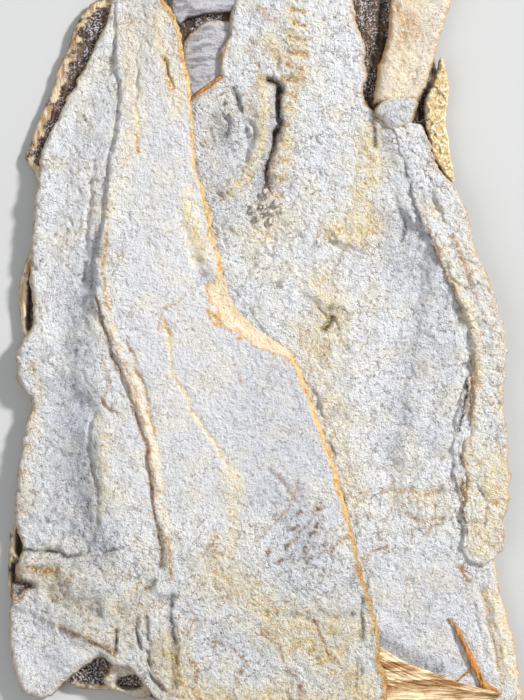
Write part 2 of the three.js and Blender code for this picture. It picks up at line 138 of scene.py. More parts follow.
BELLY_RIM = {
    "left": [117, 71.5, 109, 77.5, 101, 78.5, 90, 82, 80, 86, 67, 88, 57, 93, 39, 99.5, 20, 108.5,
        2, 117, -18, 122.5, -28, 123, -44, 119, -60, 114, -75, 112, -90, 112, -106, 115, -124, 118,
        -135, 118, -152, 117],
    "right": [117, 92.5, 105, 98.5, 90, 104, 80, 112, 70, 117.5, 59, 123, 40, 126, 22, 134, 2, 141,
        -23, 145, -45, 143.5, -63, 144, -93, 147.5, -111, 146.5, -123, 144, -133, 144.5, -152, 140],
    "far": [0, 113, 0.35, 116.5, 0.7, 117, 1, 114],
    "near": [0, -141, 0.25, -148.5, 0.65, -150.5, 1, -142],
}
NAPE_FLAP = {
    "left": [237, 79, 210, 77, 189, 75.5, 173, 74, 162, 72, 142, 66.5, 120, 65],
    "right": [237, 104, 210, 110, 189, 111, 177, 108.5, 156, 102, 144, 98.5, 120, 88],
    "far": [0, 232, 0.3, 237, 0.7, 237, 1, 231],
    "near": [0, 127, 0.5, 126, 1, 127],
}
FIN_BASE = {
    "left": [155, 105, 146, 103, 136, 99, 128, 95.5, 119, 95.5, 106, 98, 93, 102, 80, 110],
    "right": [155, 107.5, 146, 109, 137, 110.5, 127, 110, 116, 108.5, 105, 110.5, 93, 112,
        80, 114.5],
    "far": [0, 153, 0.5, 155, 1, 154],
    "near": [0, 82, 0.5, 80, 1, 81],
}
MEMBRANE = {
    "left": [177, -41, 170, -45, 163, -50, 141, -50, 126, -50],
    "right": [177, -10, 126, -10],
    "far": [0, 168, 0.12, 175, 0.3, 177.5, 1, 176],
    "near": [0, 127, 1, 127],
}
TAIL_STRIP = {
    "left": [208, -48, 196, -54, 184, -58, 172, -58],
    "right": [208, -6, 172, -6],
    "far": [0, 200, 0.4, 207, 1, 208],
    "near": [0, 181, 0.12, 174, 0.22, 178, 0.45, 180.5, 1, 183],
}

# Lines that several strokes of a side follow, x and y in turn
SEAM = (-101, 12, -97, -6, -91, -26, -83, -42, -77, -60, -71, -80, -68, -107, -63, -134)
FOLD_LINE = (-90, 159, -89, 144, -87.5, 132, -89, 119, -92, 99, -95, 81, -97, 66, -98, 50,
             -103, 36, -103, 9)
LOBE_SLIT = (-146, -141, -135, -142, -125, -143, -119, -146, -110, -144)
SPLIT_FAR = (8, 131, 8.8, 119, 10, 115, 6.4, 108.4)
SPLIT_NEAR = (6.4, 108.4, 5.5, 100, 1.8, 90.3, 0.6, 80.4, -1.1, 75.6)

# Strokes by kind: strength, reach, then x and y of each place along the line. A ridge and a step are
# relief, and a step is high on the left hand of its line's direction. The other kinds are colour
# masks: grey is painted shade on valleys and slopes turned from the light, dark is painted shade in
# crevices, slits, cracks and gaps, and stain, rust and olive are the flesh's own colours. A shared
# line has several looks.
LEFT_MARKS = {"ridge": [
    (0.9, 3, -99, 43, -99, 23, -96, 6, -90, -21, -84, -31, -78, -44, -71, -69, -66, -90, -65, -107,
     -60, -134, -59, -155),
    (-1.1, 1.2, -83, -15, -78, -30, -74, -41, -70, -51, -69, -64, -66, -75),
    (-1.5, 1.1, -90, 190, *FOLD_LINE),
    (-1.6, 1.5, -102, 92, -105, 74, -106, 60, -108, 40, -108, 22),
    (-2.8, 11, -102, 39, -112, 5, -117, -40, -112, -81, -108, -111, -104, -135),
    (1.6, 6, -96, -63, -98, -82, -97, -110, -99, -132),
    (-1, 1.3, -103, -60, -106, -82, -101, -105, -100, -120, -104, -133),
    (-2.4, 1, *LOBE_SLIT, -94, -143, -85, -141),
    (1.6, 4.5, -142, -150, -125, -153, -112, -158), (-1.6, 1.8, -140, -152.5, -124, -152.5),
    (-5, 2.2, -151, -160, -141, -163, -150, -168), (-1.6, 6, -130, -166, -112, -171, -100, -176),
    (-1.8, 1.1, -119, -160, -115, -156), (-1.6, 1, -106, -176, -98, -180),
    (-1.5, 1, -128, -172, -118, -175, -112, -172),
    (-3.4, 2, -55.7, -169, -56.4, -182.7, -54.2, -196.4, -55, -211, -53.4, -223),
    (-1.2, 1.1, 32, -112, 24, -128, 14, -139, 6, -144), (-1.2, 1.1, 40, -130, 28, -142, 20, -150),
    (1, 3, 6, -96, -4, -122, -14, -132), (1, 3, 28, -104, 18, -126, 6, -138),
    (1.4, 3, -60, -163, -61, -182, -59, -206, -58, -222),
    (-1.2, 1.4, -1, -179, 4, -178, 18, -180, 27, -177, 36, -179, 46, -183, 55, -180),
    (1.1, 4, 0, -185, 18, -187, 36, -186, 50, -189), (-1.3, 1.3, -78, 152, -76, 136),
    (-2.4, 1, -60, 153, -58, 145, -56, 138), (-0.8, 1, -77, 142, -77, 118, -76, 98),
    (-1, 1, -64, -8, -62, 2, -52, 8, -42, 18, -36, 24), (-1.2, 3, -52, 60, -46, 44, -40, 30),
    (1.6, 4, -42, 58, -37, 40, -33, 26), (-1.2, 6, -40, 60, -36, 20, -24, 4, -8, -10),
    (-1.5, 1.1, -98, -50, -96, -55, -92, -59, -86, -60),
    (-1.2, 1.1, -97, -52, -95, -47, -88, -46, -84, -50), (-1, 1.1, -82, -116, -90, -130, -98, -142),
    (-1, 1, -44, -28, -36, -20, -30, -18),
], "step": [
    (0.7, 3.4, -104, 30, *SEAM, -62, -152),
    (2, 9, -90, 200, *FOLD_LINE, -100, -21),
    (1.6, 6, -81, -138, -89, -143, -99, -145, -110, -144, -119, -147, -129, -144, -140, -143,
     -146, -141),
], "stain": [
    (0.5, 3, -94, 55, -97, 30, -94, 3, -88, -20, -77, -42, -70, -66, -65, -90, -61, -120, -58, -152),
    (0.35, 7, -84, 175, -80, 140, -78, 112, -84, 90, -93, 62),
    (0.9, 1.6, -76, 130, -77, 118, -77, 104, -75, 98), (0.5, 5, -66, 176, -58, 152, -52, 120),
    (0.55, 6, -21, -92, -18, -112, -20, -133, -22, -147), (0.6, 8, -145, -150, -125, -156),
    (0.75, 12, -30, -150, 10, -185, 50, -190), (0.9, 10, -60, -200, -48, -225, -20, -232, 40, -232),
    (0.4, 16, -120, -165, -95, -185, -75, -175), (0.9, 11, 18, -196, 42, -204, 56, -228),
    (0.45, 3.2, -139, -30, -137, -50, -142, -80, -145, -120),
    (0.45, 5, -98, -63, -98, -90, -98, -118),
    (0.6, 2, -125, -186, -110, -191, -98, -197, -90, -202),
    (0.95, 2.6, -62, 157, -60, 150, -57, 140),
    (0.8, 2.6, -42, 92, -38, 78, -35, 64, -33, 50, -29, 36), (0.75, 5, -46, 72, -44, 52, -38, 34),
], "rust": [
    (0.8, 1.1, -46, -206, -40, -214, -43, -224, -38, -232),
    (0.8, 1.1, -30, -196, -20, -199, -12, -208, -18, -220),
    (0.8, 1.1, -2, -190, 8, -197, 12, -210, 20, -218, 22, -232),
    (0.8, 1.1, 30, -184, 36, -200, 44, -208), (0.5, 0.9, -46, -172, -42, -180, -44, -190),
    (0.6, 0.9, -50, -190, -46, -191, -46, -187), (0.6, 1.4, -34, -138, -31, -134, -36, -142),
    (1, 1.3, -62, 155, -60, 150, -58, 143, -56, 136),
    (0.75, 0.9, -42, 92, -39, 80, -36, 66, -34, 52, -30, 38), (0.7, 0.8, -64, -8, -62, 2, -52, 8),
    (0.6, 0.8, 32, -112, 24, -128, 14, -139), (0.9, 3, -150, -159, -143, -163, -149, -170),
    (0.6, 2, -119, -161, -115, -156), (0.8, 0.9, -53, -186, -51.4, -198, -52, -211, -50, -223),
    (0.8, 1.2, -67, -208, -64, -217, -58, -226, -48, -229),
    (0.8, 1.3, -58, -132, -57, -148, -57, -158), (0.7, 1.2, -77, 108, -76, 98),
    (0.7, 1.3, -95, 50, -97, 28, -94, 3),
    (0.75, 0.9, -93, -8, -88, -24, -79, -44, -73, -62, -69, -84, -65, -110),
    (0.75, 1, -82, -14, -77, -32, -71, -50, -67, -72), (1, 2, -141, -152.5, -133, -153, -124, -152),
    (0.95, 1.2, -122, -188, -110, -192.5, -98, -198, -89, -203),
    (0.7, 0.9, -98, -52, -92, -57, -88, -58), (0.8, 1.4, -148, -160, -142, -163, -146, -169),
    (0.7, 0.8, -97, -22, -93, -38, -97, -52), (0.9, 0.8, -16, -39, -15.5, -40),
    (0.65, 3.5, -31, -134, -30, -142), (0.7, 1.4, -60, -4, -56, -12),
    (0.7, 1.6, -84, -212, -76, -225, -66, -230),
], "grey": [
    # grey: painted shade on valleys, on slopes turned from the light and on low ground
    (0.8, 10, -102, 39, -112, 5, -117, -40), (1, 14, -118, -45, -114, -81, -108, -111, -100, -138),
    (0.4, 3.4, -91, 99, -96, 70, -103, 39, -101, 6), (0.3, 2.6, -90, 186, -89, 144, -89, 119),
    (0.5, 7, -124, -166, -105, -170, -96, -180), (0.55, 30, 0, -52, 10, -92),
    (0.85, 16, 4, -104, 20, -122, 24, -142), (0.3, 7, -20, -194, 0, -200),
    (0.9, 2.2, -57, -169, -57.5, -182.7, -55.4, -196.4, -56, -211, -54.4, -223),
    (0.6, 4, -74, -168, -84, -176, -92, -184),
], "dark": [
    # dark: painted shade in crevices, slits and cracks
    (0.3, 8, -112, -81, -108, -100, -106, -120), (0.6, 0.7, -60, 152, -58, 146),
    (0.75, 0.9, *LOBE_SLIT),
    (1, 1.5, -151, -161, -142, -163, -150, -167),
    (0.6, 0.8, -56, -172, -56.8, -182.7, -54.6, -196.4, -55.4, -211, -54, -223),
    (0.5, 0.9, -61.5, -126, -59.6, -140, -60, -150),
    (0.35, 0.9, -1, -179, 18, -180, 36, -179, 55, -180),
    (0.5, 0.7, -106, -195, -98, -199, -90, -203.6), (0.8, 1, -110, 120, -109, 118),
    (0.25, 6, -112, -172, -104, -176),
], "shared": [
    # The dark of a shared line is painted shade in its crevice
    ((*SEAM, -62, -150),
     {"ridge": (-1.2, 0.8), "rust": (0.75, 1.3), "dark": (0.4, 0.7)}),
    ((-74, -166, -65.6, -159.6), {"ridge": (-2, 1), "dark": (0.6, 0.7)}),
    ((-69.5, -201.8, -68.7, -214.8, -61, -224.8), {"ridge": (-2.6, 1.2), "dark": (0.6, 0.9)}),
    ((-71, -179.6, -69.8, -195), {"ridge": (-2.2, 0.9), "dark": (0.6, 0.7)}),
    ((59, -171, 57, -182, 58, -195), {"ridge": (-2, 1.3), "dark": (0.45, 1)}),
    ((56, -205, 57, -214, 55, -222), {"ridge": (-1.8, 1.2), "dark": (0.45, 0.9)}),
    ((2, -92, 10, -101, 17, -112), {"ridge": (-1.2, 1.1), "rust": (0.6, 0.8)}),
    ((20, -100, 12, -118, 2, -130, -6, -136), {"ridge": (-1.2, 1.1), "rust": (0.6, 0.8)}),
    ((-76.3, -181.2, -77, -188, -74, -199.5), {"ridge": (-2.6, 1), "dark": (0.75, 0.8)}),
    ((-89, -189.6, -89.4, -202), {"ridge": (-2.4, 1.2), "dark": (0.75, 0.8)}),
    ((-61, -4, -57, -13, -56, -34, -49, -47, -44, -59, -34, -71, -27, -81, -21, -92),
     {"ridge": (-0.7, 1.2), "stain": (0.7, 1.8)}),
    ((35, -142, 43, -138, 50, -134), {"ridge": (-1.2, 1.4), "rust": (0.8, 1)}),
]}
RIGHT_MARKS = {"ridge": [
    (-2.6, 1.5, -4, 142, 3, 140.5), (-4.6, 1.4, 8.5, 135, *SPLIT_FAR),
    (-3.4, 1.3, *SPLIT_NEAR, -2.7, 66),
    (-2, 5.5, 8, 130, 7, 112, 1, 92, -3, 66),
    (1.8, 3.6, -3, 132, -1, 105, -6, 93, -13, 83, -23, 74),
    (1.4, 3, 13, 134, 12, 118, 10, 100, 5, 84), (-2, 9, -26, 96, -22, 112, -14, 108),
    (-1.6, 1.6, -12, 112, -10, 100, -14, 90, -22, 84), (-1.4, 1.3, -34, 112, -30, 104, -32, 96),
    (-1.4, 1.2, -26, 122, -22, 116, -24, 108), (-1.8, 1.4, -8, 116, -6.5, 109, -9, 101),
    (-1.2, 7, 69, 108, 79, 82, 84, 62),
    (-2.8, 9, 86, 48, 91, 20, 89, -13, 83, -45, 77, -80, 76, -112),
    (-2.6, 2.4, 80, 68, 84, 56, 83, 44), (-1.8, 0.9, 64, 124, 65, 112, 67, 100),
    (-1.1, 1.3, 44, 56, 52, 48, 60, 52, 66, 62), (-1, 1.2, 38, 44, 50, 38, 62, 42),
    (1.5, 2.4, 40, 50, 52, 43, 64, 47), (-0.7, 1.3, 34, 2, 44, 4, 50, -4),
    (1.8, 3, 26, 14, 36, 8, 48, 8), (-0.5, 1.2, 46, -16, 54, -26, 56, -38),
    (-1.2, 1.2, 20, -40, 30, -48, 34, -60), (1.8, 16, 20, 190, 24, 120, 28, 60),
    (1.6, 10, 44, 6, 48, -40, 52, -90), (1.2, 5, 46, 48, 60, 40, 68, 50),
    (-1.6, 0.9, 41, -4, 42.5, -10), (-1.2, 0.9, 36, -1, 31, 4), (-1.2, 0.9, 42, -1, 48, 3),
    (-1.2, 1.4, -16, 32, -8, 35, 2, 38, 5, 46, 7, 58),
    (-1, 1.6, 20, 28, 22, 20, 19, 8, 25, 0, 17, -6), (-0.9, 1.2, 8, 30, 12, 40, 22, 52, 30, 62),
    (-0.9, 1.2, -12, 56, -2, 60, 4, 52, -2, 44, -14, 36),
    (-1, 1.5, 84, -120, 96, -124, 107, -122, 96, -132, 88, -134),
    (1.2, 3, 74, -112, 90, -110, 106, -114), (1, 1.6, 134, -164, 139, -182, 144, -200, 147, -220),
    (-1, 1.4, 126, -174, 129, -192, 132, -206),
], "step": [
    (-1.8, 7, 64, 124, 65, 112, 67, 100, 70, 88, 70, 72, 66, 56),
], "stain": [
    (0.95, 3.6, -2, 141, -1, 105, -6, 93, -13, 83, -23, 74),
    (0.8, 5, 2, 166, 8, 156, 16, 150, 20, 142),
    (0.75, 4.5, 16, 184, 19, 160, 20, 146, 16, 132, 13, 104, 10, 82),
    (0.8, 8, 62, 106, 62, 84, 54, 50), (0.85, 8, 40, 50, 54, 46, 64, 54),
    (0.7, 11, 34, 20, 42, -4, 36, -24, 28, -10), (0.6, 9, 2, 62, -4, 48, 12, 56),
    (0.45, 12, 30, -30, 40, -60, 52, -110), (0.5, 8, 80, -108, 100, -110, 108, -112),
    (0.6, 6, 134, -168, 141, -190, 146, -215), (0.95, 5, 31, -8, 36, 0, 44, -4),
], "rust": [
    (0.85, 2.8, 3, 141, 7, 138.5, 9, 134, 8, 126), (0.7, 2.6, 8, 112, 7, 104, 4, 92, 2, 80, 0, 66),
    (0.5, 2.6, -5, 184, 4, 177), (0.45, 3.6, -8, 164, 1, 160, 11, 154, 21, 147),
    (0.4, 2, -12, 160, -6, 150, -2, 140, -12, 132, -8, 122),
    (0.7, 1.6, -22, 170, -25, 158, -27, 150), (0.7, 1.2, 34, -8, 41, -1),
    (0.65, 1.3, 84, -120, 96, -124, 107, -122, 96, -132),
    (0.9, 1.6, 119, -151, 121, -157, 123, -160), (0.5, 2.2, -42, 129, -30, 137),
    (0.6, 0.9, 66, 120, 65, 108, 68, 100),
], "grey": [
    # grey: painted shade; the strokes along the fan's far edge paint the shadow that falls there
    (0.8, 8, 72, -196, 84, -203, 98, -210, 108, -213), (0.45, 8, 70, 108, 79, 80),
    (0.6, 10, 84, 56, 93, 9, 89, -21, 82, -51, 76, -85), (0.2, 8, -25, 99, -20, 112, -17, 122),
    (0.2, 30, 80, -140, 100, -170, 90, -200), (0.9, 6, 76, -197, 90, -204, 104, -208),
    (0.5, 7, 110, 20, 106, -40, 102, -80), (0.8, 8, 72, 58, 74, 42, 82, 24),
    (0.15, 14, 36, 100, 44, 70), (0.8, 4, 5, 128, 4, 112, 0, 96, -4, 80, -6, 68),
], "dark": [
    # dark: painted shade along the fan's far edge, in the split and crevices, and in the gap by the
    # flap
    (0.42, 4, 70, -196, 80, -203, 92, -209.5, 104, -214.5),
    (0.85, 0.9, 63.6, 124, 64.5, 112, 66.5, 102), (0.6, 1.2, 80, 66, 84, 56, 83, 46),
    (0.95, 1.2, 8.2, 134, *SPLIT_FAR),
    (0.85, 1.1, *SPLIT_NEAR),
    (0.4, 3, -29, 118, -24, 106),
], "shared": [
    # The dark of a shared line is painted shade in its crevice or split
    ((3, 140.5, 6.5, 138.5, 8.5, 135), {"ridge": (-5, 2.6), "dark": (1, 2.2)}),
    ((-20, 136, -17, 130, -14, 123), {"ridge": (-2.6, 1.6), "dark": (0.8, 1)}),
    ((35.5, -8, 38, -4.5, 40, -2), {"ridge": (-3.6, 1.3), "olive": (1, 1.9)}),
    ((58, -147, 66, -142, 73, -139), {"ridge": (-1.4, 1.3), "rust": (0.75, 1.1)}),
    ((70, -107, 84, -104, 97, -108, 109, -106), {"ridge": (-1.2, 1.3), "rust": (0.7, 1)}),
    ((130, -166, 134, -182, 138, -200, 142, -220), {"ridge": (-1, 1.6), "rust": (0.6, 1.2)}),
]}
BELLY_MARKS = {"ridge": [
    (-2.2, 2, 92, 86, 98, 78, 104, 66, 110, 50), (1.4, 3, 108, 36, 120, 6, 128, -26, 127, -60),
    (-2.4, 1.6, 103, 30, 111, 14, 119, -6, 124, -26, 124, -50, 121, -72),
    (-1.8, 1.4, 118, -34, 120, -56, 117, -84, 120, -112), (-1.6, 1.2, 112, 22, 120, 16, 128, 18),
    (-1.4, 1.2, 126, -100, 132, -112, 130, -126), (-1.3, 1.2, 88, 98, 92, 92, 97, 91),
], "stain": [
    (0.35, 5, 100, 66, 116, 46, 134, 10, 140, -20, 140, -60),
    (0.8, 12, 136, -90, 135, -120, 130, -140),
    (0.7, 4, 104, 40, 112, 22, 122, 0, 128, -24, 124, -60, 122, -110),
], "rust": [
    (0.7, 2, 110, 50, 120, 30, 128, 6), (0.8, 1.4, 96, 60, 101, 44, 111, 20, 117, 2),
    (0.55, 2.6, 127, -24, 124, -50, 119, -80, 121, -120),
], "grey": [
    # grey: painted shade
    (0.6, 5, 80, 104, 88, 86, 96, 70), (0.35, 4, 120, -10, 118, -60, 118, -110),
], "dark": [
    # dark: painted shade in the crevice along the rim's left side
    (0.75, 0.9, 98, 48, 108, 20, 116, 0, 122, -22), (1, 1.3, 123, -22, 121, -46, 117, -70),
    (0.8, 0.8, 117, -76, 118, -96, 120, -110, 121, -132),
    (0.6, 1.2, 79, 100, 83, 88, 88, 70, 94, 56),
], "shared": [
    # The dark of the shared line is painted shade in its crevice
    ((91, 87, 94.5, 91, 100, 93), {"ridge": (-2.2, 1), "dark": (0.7, 0.8)}),
]}
NAPE_MARKS = {"ridge": [
    (-0.9, 1.4, 80, 186, 84, 176, 82, 160, 80, 148), (0.9, 2.4, 77, 190, 76, 170, 73, 155),
    (-0.7, 1, 86, 160, 92, 152, 88, 140),
], "stain": [
    (0.4, 9, 88, 230, 88, 190, 84, 160, 78, 130),
], "rust": [
    (0.65, 1.6, 79, 186, 83, 176, 80, 160), (0.85, 0.9, 85, 155, 85.6, 154),
    (0.5, 5, 88, 178, 90, 168),
]}

# Short flecks in the left side's near part, small cracks with rust and painted dark shade in them:
# middle (x, y), half length and slant
FLECKS = [(18, -128.4, 1.4, 0.5), (28, -132, 2.6, 0.7), (23.4, -140.4, 1.2, 1.3),
          (28, -146, 1.0, 0.2), (13, -138, 2.0, 0.9), (10, -147, 1.1, 0.4), (31, -125.4, 1.6, 1.1),
          (36, -137, 1.0, 0.6), (20, -119, 1.2, 0.8), (2, -142, 1.5, 1.0), (33, -116, 2.0, 0.6)]
FLECK_LOOKS = {"ridge": (-1.2, 0.9), "dark": (0.75, 0.8), "rust": (0.7, 1.3)}


def fleck_line(x, y, half, slant):
    """The two ends of a fleck, x and y in turn."""
    ahead = half * math.cos(slant)
    aside = half * math.sin(slant)
    return x - ahead, y - aside, x + ahead, y + aside


LEFT_MARKS["shared"] += [(fleck_line(*fleck), FLECK_LOOKS) for fleck in FLECKS]

# The rough hollow beside the split
ROUGH_HOLLOW = [(-28, 120), (-24, 96), (-26, 60)]

# Rib marks beside the split: the two ends of each and how wide it is
RIBS = [((14, 223), (21, 221.5), 1.1), ((14, 211), (21, 209.5), 1.1), ((14, 199), (20, 197), 1.1),
        ((16.5, 183.5), (23.5, 182), 1.4), ((17.5, 175), (24, 173.4), 1.4),
        ((14.5, 167), (23.5, 164.6), 1.4), ((16.2, 158), (24, 156.2), 2.4),
        ((13, 150.4), (23, 147), 1.7), ((10.5, 142.2), (17.8, 140.4), 1.7),
        ((11.3, 133), (17.4, 131.4), 1.7), ((11, 114), (14, 113.6), 1.5),
        ((10.5, 103.4), (13, 103.4), 1.3), ((10, 92.8), (13, 92.8), 1.2),
        ((8, 81.2), (10.5, 81.2), 1.4), ((4, 73), (9, 71), 2.2)]
RIB_DEPTH = 0.9

# How wide the yellow rim of the left side's free edge shows, by y
EDGE_BAND = [(224, 3.6), (150, 3.2), (110, 1.6), (60, 1.8), (30, 3), (20, 7), (11, 12.5), (1, 15),
             (-10, 18), (-17, 18), (-21, 12), (-25, 5), (-32, 3.4), (-130, 3.4), (-240, 3.8)]

# Slits under the left margin, sunk and painted dark as shade: the reach and the line of each, and
# their depth
POCKETS = [(2.4, [(-148, -130), (-148, -142)]), (1.8, [(-151.4, -150), (-151, -166)]),
           (1.5, [(-139.4, 32), (-141.5, 14), (-142, -8)])]
POCKET_DEPTH = 3.0

# Where the near left notch lies, and the gap between the stub and the flap, whose dark is partly
# bare brown skin and partly painted shadow
NOTCH_RUN = (-185, -200)
NOTCH_SIDE = (-70, -85)
GAP_LEFT = (66, 69)
GAP_RIGHT = (74, 70)
GAP_RUN = (118, 140)

# Crumbs of flesh at the end of the split: x, y and size
CRUMBS = [(-7, 64, 2.6), (-1.5, 67, 2.4), (3, 62, 2.8), (7, 67, 2.4), (10, 62, 2.0), (-4, 58, 2.2),
          (3, 56, 2.2), (0, 74, 1.5), (5, 77, 1.4), (7, 84, 1.5), (9, 92, 1.4), (10, 100, 1.2),
          (12, 108, 1.3), (-24, 134, 1.2), (-22, 128, 1.1), (-20, 120, 1.2)]

# How strongly the crumbs carry each colour
CRUMB_TINTS = {"stain": 0.35, "cream": 0.2, "rough": 1.0}

# The far and near edges (x, y) of the fan of strands, its height and its loose strands
STRAND_HIGH = [(62, -194), (71, -199), (81, -206), (93, -211.5), (111, -218.5), (126, -223.5),
               (140, -226.5)]
STRAND_LOW = [(62, -243), (80, -241), (100, -237), (120, -233), (140, -230)]
STRAND_BASE = 13.8
STRAND_RISE = 3.6
STRAND_UNDER = 11.5
STRAND_COUNT = 26
STRING_LINE = [(110, -182), (113, -185), (116, -190), (121, -200.5), (126.5, -212.5),
               (131.5, -222), (141, -228)]
BRANCH_LINE = [(126, -211.5), (121, -215), (116, -219.5)]

# The tan cord along the membrane's rim: places (x, y, z)
CORD_LINE = [(-46, 127.5, 13), (-43, 130.5, 14), (-35, 137, 14.6), (-27, 142.5, 14.6),
             (-22, 146, 13.6)]

# The flap rolled up at the near left corner: its outline, its hollow's middle and half sizes
# (x, y, long, wide), the height of its lips and of the hollow's floor, and how the lips fall
CURL = {
    "left": [-206, -90, -212, -94, -218, -97, -224, -95, -230, -89],
    "right": [-206, -72, -230, -68],
    "far": [0, -210, 0.5, -206.5, 1, -209],
    "near": [0, -225, 0.35, -229.5, 0.8, -230.5, 1, -229],
}
CURL_HOLLOW = (-80.5, -221, 10.0, 5.6)
CURL_TOP = 15.0
CURL_FLOOR = 4.0
CURL_SLOPE = 4.0
CURL_RUN = (-212, -230)
CURL_UNDER = 1.0

# Above this height the relief is pressed flatter, over the second height
PRESSED = (24.2, 1.3)

# The slow buckles, as in the solid: the height of each, and for each of its waves the direction
# (x, y), the length and the start. The thinner layers follow them by a share.
BUCKLES = [
    (0.6, [((1, 0), 19, 1.3), ((0, 1), 27, 0.4)]),
    (0.35, [((1, -1.4), 13, 2.1)]),
    (0.3, [((1, 0.6), 6.5, 0), ((0, 1), 8.5, 1.9)]),
]
THIN_SHARE = 0.5


# Curves and distances

def pairs(flat):
    """Places (x, y) from numbers that give x and y in turn."""
    return list(zip(flat[::2], flat[1::2]))


def smooth_line(knots):
    """A smooth curve through given knots (t, value), as a function of an array t."""
    rising = sorted(knots)
    times = np.array([k[0] for k in rising], float)
    values = np.array([k[1] for k in rising], float)
    last = len(rising) - 1
    before = np.maximum(np.arange(last + 1) - 1, 0)
    after = np.minimum(np.arange(last + 1) + 1, last)
    slopes = (values[after] - values[before]) / (times[after] - times[before])

    def value_at(t):
        t = np.clip(t, times[0], times[-1])
        i = np.clip(np.searchsorted(times, t, side="right") - 1, 0, last - 1)
        step = times[i + 1] - times[i]
        s = (t - times[i]) / step
        rise = s * s * (3 - 2 * s)
        tangents = s * (1 - s) * ((1 - s) * slopes[i] - s * slopes[i + 1]) * step
        return values[i] * (1 - rise) + values[i + 1] * rise + tangents

    return value_at


def nearest_on_line(x, y, line):
    """How far places are from a line, on which side of it, and how far along it from 0 to 1."""
    gap = np.full(np.shape(x), 1e9)
    side = np.zeros(np.shape(x))
    share = np.zeros(np.shape(x))
    for i, ((ax, ay), (bx, by)) in enumerate(zip(line, line[1:])):
        dx = bx - ax
        dy = by - ay
        along = np.clip(((x - ax) * dx + (y - ay) * dy) / (dx * dx + dy * dy), 0, 1)
        reach = np.hypot(x - ax - along * dx, y - ay - along * dy)
        closer = reach < gap
        gap = np.where(closer, reach, gap)
        side = np.where(closer, np.sign(dx * (y - ay) - dy * (x - ax)), side)
        share = np.where(closer, (i + along) / (len(line) - 1), share)
    return gap, side, share


def bell(gap, reach):
    """1 at no distance, fading over a reach."""
    return np.exp(-(gap / reach) ** 2)


def near_line(x, y, line, reach):
    """1 on a line of points, fading over a reach."""
    return bell(nearest_on_line(x, y, line)[0], reach)


def blend(low, high, value):
    """From 0 to 1 as a value goes from low to high."""
    t = np.clip((value - low) / (high - low), 0, 1)
    return t * t * (3 - 2 * t)


# Noise

LATTICES = {}


def value_noise(x, y, size, seed):
    """Smooth noise from -1 to 1 with features of a size in millimetres."""
    if seed not in LATTICES:
        LATTICES[seed] = np.random.default_rng(seed).random((256, 256))
    table = LATTICES[seed]
    turn = seed * 0.7
    gx = (x * math.cos(turn) - y * math.sin(turn)) / size + 500
    gy = (x * math.sin(turn) + y * math.cos(turn)) / size + 500
    ix = np.floor(gx).astype(int)
    iy = np.floor(gy).astype(int)
    fx = gx - ix
    fy = gy - iy
    fx = fx * fx * fx * (fx * (fx * 6 - 15) + 10)
    fy = fy * fy * fy * (fy * (fy * 6 - 15) + 10)

    def row(j):
        first = table[ix & 255, j & 255]
        return first + (table[(ix + 1) & 255, j & 255] - first) * fx

    low = row(iy)
    return 2 * (low + (row(iy + 1) - low) * fy) - 1


def fractal(x, y, size, seed, octaves=3, gain=0.55):
    """Noise at several scales, from about -1 to 1."""
    total = 0
    weight = 1.0
    weights = 0.0
    for octave in range(octaves):
        total = total + weight * value_noise(x, y, size / 2**octave, seed + 11 * octave)
        weights += weight
        weight *= gain
    return total / weights * 1.4


def threads(x, y, size, seed, width):
    """Thin winding lines, 1 on the line and 0 away from it."""
    return bell(fractal(x, y, size, seed, 2), width)


# Relief

def wander(x, y, seed):
    """Places shifted a little, so that strokes come out uneven."""
    return (
        x + 1.3 * fractal(x, y, 9, seed, 2) + 0.5 * value_noise(x, y, 2.6, seed + 1),
        y + 1.3 * fractal(x, y, 9, seed + 2, 2) + 0.5 * value_noise(x, y, 2.6, seed + 3),
    )


def strokes_of(marks, kind):
    """The strength, reach and places of each stroke of one kind."""
    for strength, reach, *flat in marks.get(kind, ()):
        yield strength, reach, pairs(flat)
    for flat, looks in marks.get("shared", ()):
        if kind in looks:
            yield *looks[kind], pairs(flat)


def step_relief(x, y, rise, reach, line):
    """A ledge, high on the left hand of the line's direction and low on the other."""
    gap, side, share = nearest_on_line(x, y, line)
    bank = blend(-0.8, 0.8, gap * side)
    ends = blend(0, 0.12, share) * blend(1, 0.88, share)
    return rise * ends * (1.4 * bank - 0.4) * bell(gap, reach)


def stroke_relief(x, y, marks):
    """Ridges, furrows and ledges added up, each with an uneven line and strength."""
    wx, wy = wander(x, y, 5)
    height = np.zeros(np.shape(x))
    for rise, reach, line in strokes_of(marks, "step"):
        height += step_relief(wx, wy, rise, reach, line)
    for rise, reach, line in strokes_of(marks, "ridge"):
        height += rise * near_line(wx, wy, line, reach)
    return height * (1 + 0.45 * fractal(x, y, 12, 8, 2))


def buckle(x, y):
    """Slow buckles left by the pressing and drying."""
    total = 0
    for height, waves in BUCKLES:
        level = height
        for (ahead, aside), length, start in waves:
            level = level * np.sin((ahead * x + aside * y) / length + start)
        total = total + level
    return total


def pressed(height):
    """A height kept below the press that flattened the fish."""
    start, give = PRESSED
    return np.where(height > start, start + give * np.tanh((height - start) / give), height)


def crust(x, y, seed, roughness=1.0):
    """The salt crust: lumps, grains, pits and hairline cracks."""
    lumps = 0.5 * fractal(x, y, 13, seed, 2) + 0.4 * fractal(x, y, 5.2, seed + 1, 2)
    grains = 0.22 * value_noise(x, y, 2.8, seed + 2)
    patch = blend(-0.2, 0.5, fractal(x, y, 30, seed + 4, 2))
    cracks = 0.7 * threads(x, y, 14, seed + 5, 0.13) * patch
    cracks = cracks + 0.45 * threads(x, y, 9, seed + 7, 0.16) * (1 - 0.6 * patch)
    pits = blend(0.5, 0.95, value_noise(x, y, 3.8, seed + 6))
    return roughness * (lumps + grains - cracks - pits * (0.4 + 0.6 * patch))


def flow(x, y, angle, seed):
    """Wrinkles drawn out along one direction."""
    along = x * math.cos(angle) + y * math.sin(angle)
    across = y * math.cos(angle) - x * math.sin(angle)
    bent = across + 2.4 * fractal(x, y, 18, seed, 2)
    return fractal(along / 4.5, bent, 4.2, seed + 1, 2)


# Plans and sheets

